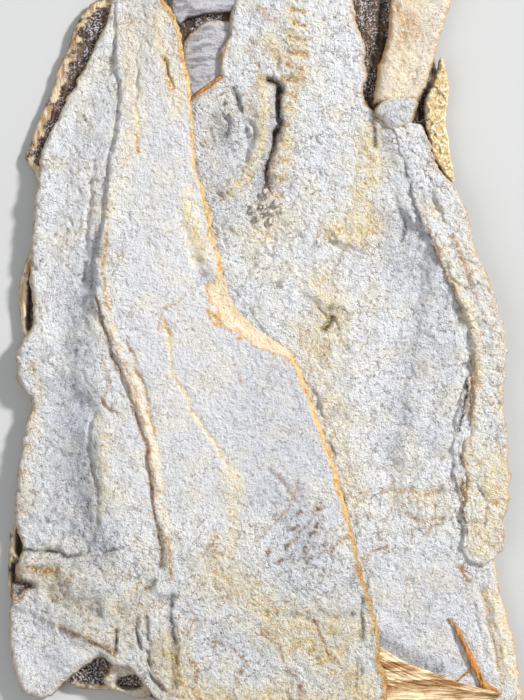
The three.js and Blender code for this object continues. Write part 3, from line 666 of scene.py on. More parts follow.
class Plan:
    """Where a sheet's places lie, and how far each is from the sheet's edges."""

    def __init__(self, outline, across, along, ragged, seed):
        line = {side: smooth_line(pairs(flat)) for side, flat in outline.items()}
        far = line["far"](across)
        near = line["near"](across)
        y = far * (1 - along) + near * along
        left = line["left"](y)
        width = line["right"](y) - left
        x = left + width * across
        self.left = across * width
        self.right = (1 - across) * width
        self.far = along * (far - near)
        self.near = (1 - along) * (far - near)
        self.edge = np.minimum(np.minimum(self.left, self.right), np.minimum(self.far, self.near))
        frayed = ragged * np.exp(-self.edge / 5)
        self.x = x + frayed * (fractal(x, y, 7, seed) + 0.6 * value_noise(x, y, 2.8, seed + 4))
        self.y = y + frayed * (fractal(x, y, 7, seed + 1) + 0.6 * value_noise(x, y, 2.8, seed + 5))


def level(height):
    """The same height all over a sheet."""
    return lambda plan: height + 0 * plan.x


def placed(name, data):
    """A new object in the scene."""
    piece = bpy.data.objects.new(name, data)
    bpy.context.scene.collection.objects.link(piece)
    return piece


def mesh_object(name, vertices, faces, masks=None):
    """A mesh from places in millimetres, with its colour masks on the vertices."""
    mesh = bpy.data.meshes.new(name)
    mesh.from_pydata((np.asarray(vertices) * MM).tolist(), [], faces)
    mesh.update()
    mesh.shade_smooth()
    for mask, values in (masks or {}).items():
        attribute = mesh.attributes.new(mask, "FLOAT", "POINT")
        filled = np.zeros(len(mesh.vertices), np.float32)
        filled[:len(values)] = values
        attribute.data.foreach_set("value", filled)
    return placed(name, mesh)


def grid_faces(index):
    """The four-sided faces of a grid of vertex numbers."""
    quads = [index[:-1, :-1], index[1:, :-1], index[1:, 1:], index[:-1, 1:]]
    return np.stack(quads, -1).reshape(-1, 4).tolist()


def ring_faces(rings, sides, first=0):
    """The faces between rings of vertices, one ring after another from the first vertex."""
    index = first + np.arange(rings * sides).reshape(rings, sides)
    return grid_faces(np.hstack([index, index[:, :1]]))


def coarse_underside(plan, bottom, index, cell):
    """The lower face in coarse cells, joined to every vertex of the fine rim."""
    last_row, last_column = index.shape[0] - 1, index.shape[1] - 1
    low = []
    node = {}
    for a in range(0, last_row + 1, cell):
        for b in range(0, last_column + 1, cell):
            node[a, b] = int(index[a, b])
            if 0 < a < last_row and 0 < b < last_column:
                node[a, b] = index.size + len(low)
                low.append((plan.x[a, b], plan.y[a, b], bottom[a, b]))

    def side(a, b, c, d, on_rim):
        return index[a:c + 1, b:d + 1].ravel().tolist() if on_rim else [node[a, b], node[c, d]]

    faces = []
    for a in range(0, last_row, cell):
        for b in range(0, last_column, cell):
            c, d = a + cell, b + cell
            head = side(a, b, a, d, a == 0)
            east = side(a, d, c, d, d == last_column)
            foot = side(c, b, c, d, c == last_row)
            west = side(a, b, c, b, b == 0)
            faces.append(head + east[1:] + foot[::-1][1:] + west[::-1][1:-1])
    return low, faces


def sheet(name, outline, size, rim, over, under, paint, ragged, seed, cell=10):
    """A closed sheet: a fine upper face, and a coarse lower one that shares its rim."""
    columns, rows = size
    across, along = np.meshgrid(np.linspace(0, 1, columns + 1), np.linspace(0, 1, rows + 1))
    plan = Plan(outline, across, along, ragged, seed)
    top = over(plan)
    bottom = under(plan)
    reach = 1 - np.clip(plan.edge / rim, 0, 1)
    full = np.sqrt(np.clip(1 - reach * reach, 0, 1))
    middle = (top + bottom) / 2
    upper = middle + (top - middle) * full
    fine = np.stack([plan.x, plan.y, upper], -1).reshape(-1, 3)
    masks = {mask: values.reshape(-1) for mask, values in paint(plan, upper).items()}
    index = np.arange(len(fine)).reshape(across.shape)
    low, low_faces = coarse_underside(plan, bottom, index, cell)
    return mesh_object(name, np.vstack([fine, np.array(low)]), grid_faces(index) + low_faces, masks)


# Colour masks

def hollow_mask(upper, times, depth):
    """How deep each place lies below its surroundings, -1 to 1."""
    field = upper
    for _ in range(times):
        padded = np.pad(field, 1, mode="edge")
        field = (padded[:-2, 1:-1] + padded[2:, 1:-1] + padded[1:-1, :-2] + padded[1:-1, 2:]
                 + 2 * field) / 6
    return np.clip((field - upper) / depth, -1, 1)


def tint_masks(plan, upper, marks, seed, rough):
    """Colour masks from strokes, and from how deep each place lies below its surroundings. The grey
    and dark masks are painted shade.
    """
    wx, wy = wander(plan.x, plan.y, seed)
    masks = {mask: np.zeros(plan.x.shape) for mask in ("stain", "rust", "grey", "dark", "olive")}
    for mask in masks:
        for strength, reach, line in strokes_of(marks, mask):
            deepen(masks, mask, strength * near_line(wx, wy, line, reach))
    masks["hollow"] = hollow_mask(upper, 8, 0.5)
    masks["rough"] = rough + 0 * plan.x
    return masks


def deepen(masks, mask, amount):
    """A mask made at least as strong as an amount."""
    masks[mask] = np.maximum(masks.get(mask, amount), amount)


# The layers' heights

def right_ground(x, y):
    """The right side's height without its relief, for what lies on it."""
    corner = blend(-130, -185, y) * blend(40, 120, x)
    return RIGHT_TOP - RIGHT_CORNER_DROP * corner + buckle(x, y)


def body_under(plan):
    """The underside that both halves share, nearer the floor towards the fold."""
    return BODY_FLOOR - FOLD_DROP * blend(*FOLD_RUN, plan.near)


def right_rough(x, y):
    """How coarse the right side's crust is: most beside the split, least at the near end."""
    beside_split = 0.6 * near_line(x, y, ROUGH_HOLLOW, 16)
    return 1.05 + beside_split - 0.35 * blend(-120, -170, y)


def rib_marks(x, y):
    """1 on the short dashes beside the split and 0 away from them."""
    wx = x + 0.7 * value_noise(x, y, 3.4, 36)
    wy = y + 0.7 * value_noise(x, y, 3.4, 38)
    marks = np.zeros(np.shape(x))
    for start, end, reach in RIBS:
        marks = np.maximum(marks, near_line(wx, wy, [start, end], reach))
    return marks


def right_top(plan):
    x, y = plan.x, plan.y
    wrinkles = (0.7 + 0.7 * blend(90, 30, y) - 0.7 * blend(-100, -160, y)) * flow(x, y, 0.9, 60)
    fine = wrinkles + crust(x, y, 70, right_rough(x, y)) - RIB_DEPTH * rib_marks(x, y)
    return pressed(right_ground(x, y) + stroke_relief(x, y, RIGHT_MARKS) + fine)


def flap_share(x, y, run):
    """1 on the lower flap at the near left corner, beyond its slanting step."""
    return blend(*run, y + FLAP_SLANT * (x - FLAP_PIVOT)) * blend(*FLAP_SIDE, x)


def left_rough(x, y):
    """How coarse the left side's crust is: smooth in its middle and on the near corner flap."""
    near = blend(-90, -165, y)
    middle = blend(-90, -70, x) * blend(190, 120, y) * (1 - near)
    calm = flap_share(x, y, (-190, -194))
    margin = 0.4 * blend(-122, -140, x) * (1 - near)
    return 0.85 - 0.35 * middle + margin + 0.5 * near * (1 - calm) - 0.05 * calm


def left_top(plan):
    x, y = plan.x, plan.y
    margin = (LEFT_TOP - MARGIN_TOP) * blend(*LEFT_MARGIN_RUN, plan.left)
    tongue = TONGUE_DROP * blend(*TONGUE_RUN, y)
    corner = FLAP_DROP * flap_share(x, y, FLAP_RUN)
    band = smooth_line(EDGE_BAND)(y)
    bevel = BAND_BEVEL * (1 - blend(0.1, 1.05, plan.right / band)) * blend(3, 9, band)
    shape = LEFT_TOP - np.maximum(margin, tongue) - corner - bevel
    rough = left_rough(x, y)
    smooth_band = 1 - 0.5 * (plan.right < band)
    fine = crust(x, y, 90, rough) + (rough - 0.35) * flow(x, y, 0.75, 80)
    return pressed(shape + stroke_relief(x, y, LEFT_MARKS) + buckle(x, y) + fine * smooth_band)


def left_under(plan):
    lift = blend(*LANDING, plan.right)
    bedded = blend(*BEDDING, plan.right)
    on_right = right_ground(plan.x, plan.y) - SINK + (SINK + EDGE_GAP) * lift
    return on_right * (1 - bedded) + body_under(plan) * bedded


def pocket_share(x, y):
    """1 inside the slits where the left margin gapes, which are sunk and painted dark as shade, and
    0 away from them.
    """
    share = np.zeros(np.shape(x))
    for reach, line in POCKETS:
        gap = nearest_on_line(x, y, line)[0]
        share = np.maximum(share, np.exp(-(gap / reach) ** 4))
    return share


# The pieces

def make_left_side():
    def paint(plan, upper):
        x, y = plan.x, plan.y
        masks = tint_masks(plan, upper, LEFT_MARKS, 31, left_rough(x, y))
        band = smooth_line(EDGE_BAND)(y) * (1 + 0.3 * fractal(x, y, 6, 33, 2))
        narrow = 1 - blend(4, 8, band)
        inside = 1 - blend(0.7, 1.2, plan.right / band)
        border = bell(plan.right - band, 1) * (1 - narrow)
        deepen(masks, "stain", 0.35 * inside * (1 - narrow))
        deepen(masks, "rust", 0.75 * border)
        for amount in ((0.1 + 0.9 * narrow) * inside, 0.8 * np.exp(-plan.right / 1.3), 0.7 * border,
                       0.75 * np.exp(-np.minimum(plan.left, plan.near) / 1.3)):
            deepen(masks, "rim", amount)
        tongue = blend(110, 170, y) * blend(-92, -84, x)
        masks["cream"] = np.maximum(0.35 * tongue, inside * (1 - narrow))
        return masks

    return sheet("left_side", LEFT_SIDE, (250, 370), 4, left_top, left_under, paint, 1, 41)


def make_right_side():
    def paint(plan, upper):
        masks = tint_masks(plan, upper, RIGHT_MARKS, 32, right_rough(plan.x, plan.y))
        ribs = rib_marks(plan.x, plan.y)
        deepen(masks, "rust", 0.9 * ribs ** 1.6)
        deepen(masks, "stain", 0.8 * ribs)
        masks["rim"] = 0.85 * np.exp(-plan.edge / 1.4)
        return masks

    return sheet("right_side", RIGHT_SIDE, (230, 390), 4.5, right_top, body_under, paint, 1, 42)


def make_belly_rim():
    def over(plan):
        x, y = plan.x, plan.y
        fine = crust(x, y, 110, 1.5) + stroke_relief(x, y, BELLY_MARKS)
        drop = BELLY_DROP * blend(*BELLY_RUN, y) + BELLY_END_DROP * blend(*BELLY_END_RUN, y)
        return pressed(BELLY_TOP - drop + buckle(x, y) + fine)

    def paint(plan, upper):
        masks = tint_masks(plan, upper, BELLY_MARKS, 34, 1.1)
        masks["rim"] = 0.7 * np.exp(-plan.right / 1.6)
        return masks

    under = level(LOWER_TOP)
    return sheet("belly_rim", BELLY_RIM, (45, 400), 2.4, over, under, paint, 1.2, 43, 5)


def make_nape_flap():
    def over(plan):
        x, y = plan.x, plan.y
        return FLAP_TOP + buckle(x, y) + crust(x, y, 120, 0.75) + stroke_relief(x, y, NAPE_MARKS)

    def paint(plan, upper):
        masks = tint_masks(plan, upper, NAPE_MARKS, 35, 0.6)
        masks["rim"] = np.maximum(0.85 * np.exp(-plan.left / 2.2), 0.6 * np.exp(-plan.right / 1.5))
        deepen(masks, "rust", 0.7 * np.exp(-plan.left / 1.6))
        masks["cream"] = 0.85 + 0 * plan.x
        return masks

    return sheet("nape_flap", NAPE_FLAP, (50, 130), 7, over, level(BODY_FLOOR), paint, 0.8, 44)


def make_knuckle():
    """The round lump where the flap turns under: a squashed ball with the crust on it."""
    turns = 48
    rings = 20
    angle, tilt = np.meshgrid(np.linspace(0, 2 * math.pi, turns, endpoint=False),
                              np.linspace(0, math.pi / 2, rings + 1)[1:])
    lobes = 1 + 0.09 * np.sin(3 * angle + 0.6) + 0.05 * np.sin(5 * angle)
    px = KNUCKLE_LONG * np.sin(tilt) * np.cos(angle) * lobes
    py = KNUCKLE_WIDE * np.sin(tilt) * np.sin(angle) * lobes
    middle_x, middle_y = KNUCKLE_MIDDLE
    x = middle_x + px * math.cos(KNUCKLE_TURN) - py * math.sin(KNUCKLE_TURN)
    y = middle_y + px * math.sin(KNUCKLE_TURN) + py * math.cos(KNUCKLE_TURN)
    z = KNUCKLE_LOW + (KNUCKLE_TOP - KNUCKLE_LOW) * np.cos(tilt) ** 0.65
    z = z + 0.9 * crust(x, y, 130) * np.cos(tilt) ** 0.3
    vertices = [[middle_x, middle_y, KNUCKLE_TOP + 0.2]]
    vertices += np.stack([x, y, z], -1).reshape(-1, 3).tolist()
    faces = [[0, 1 + i, 1 + (i + 1) % turns] for i in range(turns)]
    faces += ring_faces(rings, turns, 1)
    faces.append([1 + (rings - 1) * turns + i for i in range(turns)][::-1])
    low = np.append(0, tilt.reshape(-1) / (math.pi / 2))
    masks = {
        "stain": 0.1 + 0.7 * blend(0.5, 0.75, low),
        "rust": 0.9 * blend(0.62, 0.8, low),
        # dark on the lower flanks and grey fading from the top are painted shade
        "dark": 0.6 * blend(0.75, 0.95, low),
        "grey": 0.4 - 0.3 * blend(0.5, 0.7, low),
        "rough": 1.2 + 0 * low,
    }
    return mesh_object("knuckle", vertices, faces, masks)


def make_fin_base():
    def over(plan):
        x, y = plan.x, plan.y
        folds = threads(x, y, 7, 140, 0.22) + threads(x, y, 5, 141, 0.22)
        return FIN_TOP + 1.1 * folds + 0.5 * fractal(x, y, 4, 143, 2)

    def paint(plan, upper):
        return {"hollow": hollow_mask(upper, 5, 0.4), "rust": 0.8 * bell(plan.left, 1.4)}

    return sheet("fin_base", FIN_BASE, (40, 150), 3, over, level(BODY_FLOOR), paint, 0.4, 45)


def make_membrane():
    def over(plan):
        fine = 0.25 * fractal(plan.x, plan.y, 8, 150)
        return MEMBRANE_TOP + THIN_SHARE * buckle(plan.x, plan.y) + fine

    def paint(plan, upper):
        gap = bell(np.maximum(plan.right - 4, 0), 2.5)
        return {
            "hollow": hollow_mask(upper, 5, 0.4),
            "tan": 0.8 * np.maximum(np.exp(-plan.left / 3), np.exp(-plan.far / 1.2)),
            # dark: painted shadow near the right edge, where the right side overhangs
            "dark": 0.8 * gap * blend(130, 136, plan.y),
        }

    return sheet("membrane", MEMBRANE, (60, 80), 4, over, level(BODY_FLOOR), paint, 0.4, 46)


def make_tail_strip():
    def over(plan):
        streaks = 0.6 * flow(plan.x, plan.y, 0.25, 160)
        return STRIP_TOP + THIN_SHARE * buckle(plan.x, plan.y) + streaks

    def paint(plan, upper):
        return {
            "hollow": hollow_mask(upper, 5, 0.4),
            "tan": 0.3 * np.exp(-plan.left / 3),
            # dark: painted shade along the near edge
            "dark": 0.9 * bell(plan.near, 1.4),
        }

    return sheet("tail_strip", TAIL_STRIP, (80, 60), 4, over, level(BODY_FLOOR), paint, 0.5, 47)


def make_lower_side():
    def over(plan):
        x, y = plan.x, plan.y
        scales = 0.25 * fractal(x, y, 3, 21, 2) - POCKET_DEPTH * pocket_share(x, y)
        return LOWER_TOP + THIN_SHARE * buckle(x, y) + scales + 0.3 * fractal(x, y, 9, 22, 2)

    def under(plan):
        return 1.5 * (1 - blend(6, 16, plan.edge))

    def paint(plan, upper):
        x, y = plan.x, plan.y
        tan = bell(np.maximum(np.minimum(plan.left, plan.far) - 2.5, 0), 4.5)
        tan = tan * (0.85 + 0.3 * fractal(x, y, 8, 171, 2))
        between = blend(*GAP_LEFT, x) * blend(*GAP_RIGHT, x) * blend(*GAP_RUN, y)
        under_flap = blend(97, 101, x) * blend(105, 112, y)
        notch = blend(*NOTCH_RUN, y) * blend(*NOTCH_SIDE, x)
        near_rim = bell(np.maximum(plan.near - 1, 0), 3) * notch
        # Less salt in the gap beside the flap leaves it darker: bare brown skin, and painted shadow
        # there
        salt = 0.62 - 0.5 * between + 0.3 * under_flap + 0.35 * notch
        return {
            "hollow": hollow_mask(upper, 6, 0.4),
            # dark: painted shade in the slits
            "dark": pocket_share(x, y),
            "tan": np.clip(tan + 0.6 * under_flap + 0.8 * near_rim, 0, 1),
            "salt": np.clip(salt + 0.25 * fractal(x, y, 14, 172, 2), 0, 1),
        }

    return sheet("lower_side", LOWER_SIDE, (220, 330), 7, over, under, paint, 0.6, 48)


def tube(line, radii, sides, seed, flat=1.0):
    """Vertices and faces of a closed strand along places, with an uneven round section."""
    line = np.asarray(line, float)
    count = len(line)
    ahead = np.gradient(line, axis=0)
    ahead /= np.linalg.norm(ahead, axis=1)[:, None]
    side = np.stack([ahead[:, 1], -ahead[:, 0], 0 * ahead[:, 0]], -1)
    side /= np.maximum(np.linalg.norm(side, axis=1), 1e-6)[:, None]
    up = np.cross(side, ahead)
    vertices = []
    for j, i in itertools.product(range(count), range(sides)):
        turn = i / sides * 2 * math.pi
        reach = radii[j] * (1 + 0.16 * math.sin(3 * turn + seed + j * 0.35))
        vertices.append(line[j] + side[j] * reach * math.cos(turn)
                        + up[j] * reach * flat * math.sin(turn))
    faces = ring_faces(count, sides)
    faces.append(list(range(sides)))
    faces.append([(count - 1) * sides + i for i in range(sides)][::-1])
    return vertices, faces


def bent_line(knots, steps):
    """A smooth line through places (x, y, z)."""
    times = np.linspace(0, 1, len(knots))
    t = np.linspace(0, 1, steps)
    return np.stack([smooth_line(zip(times, values))(t) for values in zip(*knots)], -1)


def joined(name, parts):
    """Several meshes as one piece."""
    vertices = []
    faces = []
    for part_vertices, part_faces in parts:
        start = len(vertices)
        vertices.extend(part_vertices)
        faces.extend([[start + v for v in face] for face in part_faces])
    return mesh_object(name, vertices, faces)


def fan_sheet(high, low, first, last):
    """The fan as one ribbed sheet with a flat underside."""
    x, share = np.meshgrid(np.linspace(first, last, 151), np.linspace(0, 1, 91))
    gone = (x - first) / (last - first)
    y = high(x) * (1 - share) + low(x) * share
    fibre = share * 9 + 0.35 * value_noise(x, y, 16, 180)
    ridges = 1 - np.abs(value_noise(fibre * 3, x * 0.05, 1, 181)) * 2
    fine = value_noise(fibre * 9, x * 0.08, 1, 182)
    swell = np.sqrt(np.clip(1 - (2 * share - 1) ** 4, 0, 1))
    z = STRAND_BASE + STRAND_RISE * (1 - 0.55 * gone) * swell
    z = z + (0.9 * ridges + 0.4 * fine) * (1 - 0.4 * gone) * swell
    y = y + 0.5 * ridges * (1 - gone)
    top = np.stack([x, y, z], -1).reshape(-1, 3)
    flat = np.stack([x, y, STRAND_UNDER + 0 * x], -1).reshape(-1, 3)
    count = len(top)
    index = np.arange(count).reshape(x.shape)
    faces = grid_faces(index)
    faces += [[v + count for v in face[::-1]] for face in faces]
    ring = [*index[0, :-1], *index[:-1, -1], *index[-1, :0:-1], *index[:0:-1, 0]]
    for a, b in zip(ring, ring[1:] + ring[:1]):
        faces.append([int(a), int(b), int(b) + count, int(a) + count])
    return np.vstack([top, flat]).tolist(), faces


def make_strands():
    """The fan of dry sinew, from wide under the edge to one knot at the right."""
    chance = np.random.default_rng(7)
    high = smooth_line(STRAND_HIGH)
    low = smooth_line(STRAND_LOW)
    first, last = STRAND_LOW[0][0], STRAND_LOW[-1][0]
    parts = [fan_sheet(high, low, first, last)]
    for i in range(STRAND_COUNT):
        place = (i + chance.uniform(0, 0.8)) / STRAND_COUNT
        reach = chance.uniform(0.75, 1.0)
        knots = []
        for step in (0, 0.33, 0.66, 1):
            at = first + (last - first) * step * reach
            drift = min(max(place + 0.06 * math.sin(3 * step + i), 0.02), 0.98)
            knot_y = float(high(at)) * (1 - drift) + float(low(at)) * drift
            lift = STRAND_RISE * (1 - 0.55 * step) * 0.9 + chance.uniform(-0.2, 0.7)
            knots.append((at, knot_y, STRAND_BASE + lift))
        radius = chance.uniform(0.35, 0.8)
        parts.append(tube(bent_line(knots, 40), np.linspace(radius, radius * 0.5, 40), 8, i, 0.8))
    return joined("strands", parts)


def make_string():
    """The loose brown string on the near right corner, its short branch, and the tan cord."""
    def on_right(places, lift, steps):
        knots = [(x, y, float(right_ground(x, y)) + lift) for x, y in places]
        return bent_line(knots, steps)

    count = 90
    share = np.linspace(0, 1, count)
    thick = 0.6 + 1.35 * blend(0.1, 0.6, share) * (1 - 0.5 * blend(0.85, 1, share))
    thick = thick * (1 + 0.18 * np.sin(share * 23))
    beside = [(x + 1.1, y + 0.5) for x, y in STRING_LINE[2:]]
    return joined("string", [
        tube(on_right(STRING_LINE, 1.5, count), thick, 12, 1, 0.7),
        tube(on_right(beside, 1.9, count), thick * 0.5, 10, 2),
        tube(on_right(BRANCH_LINE, 1.5, 24), np.linspace(0.8, 0.45, 24), 8, 3),
        tube(bent_line(CORD_LINE, 50), np.full(50, 1.15), 10, 4, 0.8),
    ])


def make_curl():
    """The flap rolled up in the near left notch: crusted lips around a brown hollow, painted dark as
    shade deep inside.
    """
    def depth(plan):
        x, y, long, wide = CURL_HOLLOW
        reach = np.hypot((plan.x - x) / long, (plan.y - y) / wide)
        return 1 - blend(0.62, 1.0, reach + 0.14 * fractal(plan.x, plan.y, 6, 190, 2))

    def over(plan):
        folds = 0.8 * fractal(plan.x, plan.y, 5, 191)
        lip = CURL_TOP - CURL_SLOPE * blend(*CURL_RUN, plan.y)
        return lip + folds - (lip - CURL_FLOOR) * depth(plan)

    def paint(plan, upper):
        masks = tint_masks(plan, upper, {}, 37, 1.0)
        # dark: painted shade deep in the hollow
        masks["dark"] = 0.97 * blend(0.5, 0.9, depth(plan))
        masks["rust"] = 0.7 * blend(0.3, 0.6, depth(plan))
        masks["stain"] = 0.4 + 0 * plan.x
        masks["cream"] = 0.4 + 0 * plan.x
        masks["rim"] = 0.8 * np.exp(-plan.edge / 1.4)
        return masks

    return sheet("curl", CURL, (80, 70), 3, over, level(CURL_UNDER), paint, 0.9, 49)


def ball_of_twenty():
    """The corners and faces of a regular ball of twenty triangles."""
    golden = (1 + math.sqrt(5)) / 2
    corners = []
    for a, b in itertools.product((-1, 1), (-golden, golden)):
        corners += [(0, a, b), (a, b, 0), (b, 0, a)]
    corners = np.array(corners) / math.hypot(1, golden)
    faces = []
    for i, j, k in itertools.combinations(range(12), 3):
        spans = [np.linalg.norm(corners[a] - corners[b]) for a, b in ((i, j), (j, k), (i, k))]
        if max(spans) < 1.1:
            normal = np.cross(corners[j] - corners[i], corners[k] - corners[i])
            faces.append([i, j, k] if normal @ corners[i] > 0 else [i, k, j])
    return corners, faces


def make_crumbs():
    """Loose salt grains and crumbs of flesh, scattered by rule with a fixed seed."""
    chance = np.random.default_rng(19)
    corners, sides = ball_of_twenty()
    vertices = []
    faces = []

    def add(x, y, lift, size):
        start = len(vertices)
        stretch = chance.uniform(0.6, 1.3, 3) * size
        jitter = chance.uniform(0.75, 1.2, (12, 1))
        for corner in corners * jitter * stretch:
            vertices.append((x + corner[0], y + corner[1], RIGHT_TOP + lift + corner[2] * 0.8))
        faces.extend([[start + v for v in side] for side in sides])

    for x, y, size in CRUMBS:
        add(x, y, 0.9, size)
        for _ in range(3):
            turn = chance.uniform(0, 2 * math.pi)
            add(x + size * math.cos(turn), y + size * math.sin(turn), 0.3, size * 0.55)
    masks = {mask: np.full(len(vertices), share) for mask, share in CRUMB_TINTS.items()}
    return mesh_object("crumbs", vertices, faces, masks)


# Materials

class Nodes:
    """A short way to write a material's nodes. Colours are 0 to 255 screen values."""

    def __init__(self, name):
        self.material = bpy.data.materials.new(name)
        self.material.use_nodes = True
        self.tree = self.material.node_tree
        self.shader = self.tree.nodes["Principled BSDF"]
        self.place = self.add("TexCoord", {})["Object"]

    def put(self, socket, value):
        """Links another node's output to a socket, or sets the socket to a value."""
        if isinstance(value, bpy.types.NodeSocket):
            self.tree.links.new(value, socket)
        else:
            socket.default_value = value

    def add(self, kind, sockets, **settings):
        """The outputs of a new node with its settings and sockets."""
        node = self.tree.nodes.new("ShaderNode" + kind)
        for name, value in settings.items():
            setattr(node, name, value)
        for socket, value in sockets.items():
            self.put(node.inputs[socket], value)
        return node.outputs

    def attribute(self, name):
        return self.add("Attribute", {}, attribute_name=name)["Fac"]

    def noise(self, size, detail=2.0, rough=0.55, distort=0.0, stretch=None):
        place = self.place
        if stretch:
            scale, turn = stretch
            sockets = {"Vector": place, "Scale": scale, "Rotation": (0, 0, turn)}
            place = self.add("Mapping", sockets)["Vector"]
        return self.add("TexNoise", {"Vector": place, "Scale": 1 / (size * MM), "Detail": detail,
                                     "Roughness": rough, "Distortion": distort})["Fac"]

    def ramp(self, value, low, high, out_low=0.0, out_high=1.0):
        sockets = {"Value": value, "From Min": low, "From Max": high,
                   "To Min": out_low, "To Max": out_high}
        return self.add("MapRange", sockets, interpolation_type="SMOOTHSTEP")["Result"]

    def math(self, operation, *values):
        """The values taken together two by two, from the first on."""
        def pair(first, second):
            return self.add("Math", {0: first, 1: second}, operation=operation)["Value"]

        return functools.reduce(pair, values)

    def times(self, *values):
        return self.math("MULTIPLY", *values)

    def plus(self, *values):
        return self.math("ADD", *values)

    def mix(self, amount, first, second):
        tones = [srgb(*tone) if isinstance(tone, tuple) else tone for tone in (first, second)]
        return self.add("Mix", {0: amount, 6: tones[0], 7: tones[1]}, data_type="RGBA")[2]

    def coats(self, colour, coats):
        """A colour under coats of others: the amount and the colour of each."""
        for amount, tone in coats:
            colour = self.mix(amount, colour, tone)
        return colour

    def finish(self, colour, roughness, relief=None, specular=None):
        """The material with its colour, roughness, relief in millimetres and shine."""
        self.put(self.shader.inputs["Base Color"], colour)
        self.put(self.shader.inputs["Roughness"], roughness)
        if specular is not None:
            self.put(self.shader.inputs["Specular IOR Level"], specular)
        if relief is not None:
            bump = self.add("Bump", {"Height": relief, "Strength": 1.0, "Distance": MM})["Normal"]
            self.put(self.shader.inputs["Normal"], bump)
        return self.material


def srgb(red, green, blue):
    """A colour from its 0 to 255 screen values."""
    def linear(value):
        share = value / 255
        return share / 12.92 if share <= 0.04045 else ((share + 0.055) / 1.055) ** 2.4

    return (linear(red), linear(green), linear(blue), 1.0)


def flesh_material():
    """White salted flesh: grain and small holes, pigment in cracks, yellow zones, and painted shade:
    grey on valleys and in the crust's low places, dark grey in cracks and holes, dark in crevices.
    """
    n = Nodes("flesh")
    rough, stained, grey, rim = [n.attribute(name) for name in ("rough", "stain", "grey", "rim")]
    crag = n.noise(5, 5, 0.72)
    grain = n.noise(1.9, 3, 0.7)
    holes = n.ramp(n.noise(2.5, 2, 0.6), 0.42, 0.34)
    plates = n.math("ABSOLUTE", n.math("SUBTRACT", n.noise(10, 5, 0.6), 0.5), 0)
    patch = n.noise(19, 3, 0.6)
    cracks = n.times(n.ramp(plates, 0.013, 0), n.ramp(n.noise(13, 2), 0.46, 0.58))
    crust_level = n.plus(n.times(crag, 0.45), n.times(grain, 0.55))

    white = n.mix(n.ramp(rough, 0.5, 1.1), (219, 218, 219), (250, 250, 251))
    cream = n.mix(n.ramp(rough, 0.5, 1.1), (226, 220, 208), (254, 247, 232))
    zone = n.plus(stained, n.ramp(patch, 0.5, 0.66, 0.04, 0.4))
    hollow = n.plus(n.attribute("hollow"), n.ramp(crust_level, 0.3, 0.7, 0.8, -0.8))
    sunken = n.times(n.ramp(hollow, 0.25, 1), n.ramp(n.noise(7, 3, 0.65), 0.42, 0.6, 0.1, 0.9))
    # Cracks and holes take ochre pigment in stained zones, and elsewhere a dark grey that is painted
    # shade in them; grey shade also turns the ochre to grey
    ochre = n.times(n.ramp(stained, 0, 0.5, 0.3, 1), n.ramp(grey, 0.2, 0.9, 1, 0.25))
    line = n.mix(ochre, (104, 94, 90), (214, 152, 72))
    specks = n.ramp(n.noise(2.6, 3, 0.7), 0.63, 0.68)
    colour = n.coats(n.mix(n.ramp(patch, 0.44, 0.64, 0, 0.7), white, cream), [
        (n.attribute("cream"), (231, 217, 199)),
        # painted shade in the crust's low places
        (n.ramp(crust_level, 0.44, 0.35, 0, 0.24), (166, 158, 156)),
        (n.times(sunken, zone, 0.8), (232, 202, 140)),
        # grey: painted shade on valleys and slopes turned from the light
        (n.times(grey, n.ramp(crag, 0.3, 0.62, 1, 0.45), 0.85), (172, 177, 190)),
        (n.times(stained, n.ramp(crag, 0.36, 0.6, 1.1, 0.35), 0.9), (255, 234, 172)),
        (n.times(cracks, n.ramp(rough, 0.4, 1, 0.6, 1)), line),
        (n.times(holes, n.ramp(rough, 0.4, 1.3, 0.26, 0.42)), line),
        (n.times(stained, n.ramp(grain, 0.48, 0.36), 0.5), (224, 178, 94)),
        (n.times(n.ramp(rough, 0.9, 1.9), specks, 0.85), (92, 78, 70)),
        (n.times(n.attribute("rust"), n.ramp(grain, 0.64, 0.46)), (186, 128, 50)),
        (n.times(rim, 0.9), (237, 196, 128)),
        (n.times(rim, n.ramp(crag, 0.52, 0.42), 0.7), (206, 140, 58)),
        (n.times(n.attribute("olive"), n.ramp(grain, 0.66, 0.46)), (142, 116, 40)),
        # dark: painted shade in crevices, slits and gaps
        (n.times(n.attribute("dark"), n.ramp(grain, 0.72, 0.5)), (62, 46, 34)),
    ])
    relief = n.plus(n.times(crag, 4.6), n.times(grain, 4.2), n.times(holes, -0.5),
                    n.ramp(plates, 0, 0.03, 0, 0.4))
    return n.finish(colour, 0.85, n.times(relief, rough), 0.25)


def skin_material():
    """Dry brown skin: streaks and scales, salt grains, and tan where it is bare and thin."""
    n = Nodes("skin")
    streak = n.noise(3.2, 4, 0.65, 0.3, ((1, 0.22, 1), -0.5))
    brown = n.mix(n.ramp(streak, 0.4, 0.62), (48, 36, 28), (124, 92, 62))
    scales = n.add("TexVoronoi", {"Vector": n.place, "Scale": 1 / (2.2 * MM)})["Distance"]
    brown = n.mix(n.ramp(scales, 0.2, 0.6, 0, 0.5), brown, (34, 26, 20))
    tan = n.mix(n.ramp(streak, 0.4, 0.58), (190, 146, 98), (240, 218, 184))
    edge = n.plus(n.attribute("tan"), n.ramp(n.noise(4, 3, 0.6), 0.35, 0.65, -0.25, 0.25))
    grains = n.noise(1.3, 3, 0.7)
    dusted = n.plus(n.attribute("salt"), n.ramp(n.noise(6, 3, 0.6), 0.35, 0.65, -0.35, 0.3))
    salt = n.times(n.ramp(grains, 0.5, 0.6), n.ramp(dusted, 0.2, 0.8))
    bare = n.plus(n.times(n.attribute("tan"), -0.85), 1)
    colour = n.coats(n.mix(n.ramp(edge, 0.3, 0.75), brown, tan), [
        (n.times(salt, bare), (206, 204, 208)),
        # dark: painted shade in the slits under the left margin
        (n.attribute("dark"), (40, 30, 24)),
    ])
    return n.finish(colour, 0.6, n.plus(n.times(grains, 1.6), n.times(streak, 2.2)), 0.4)


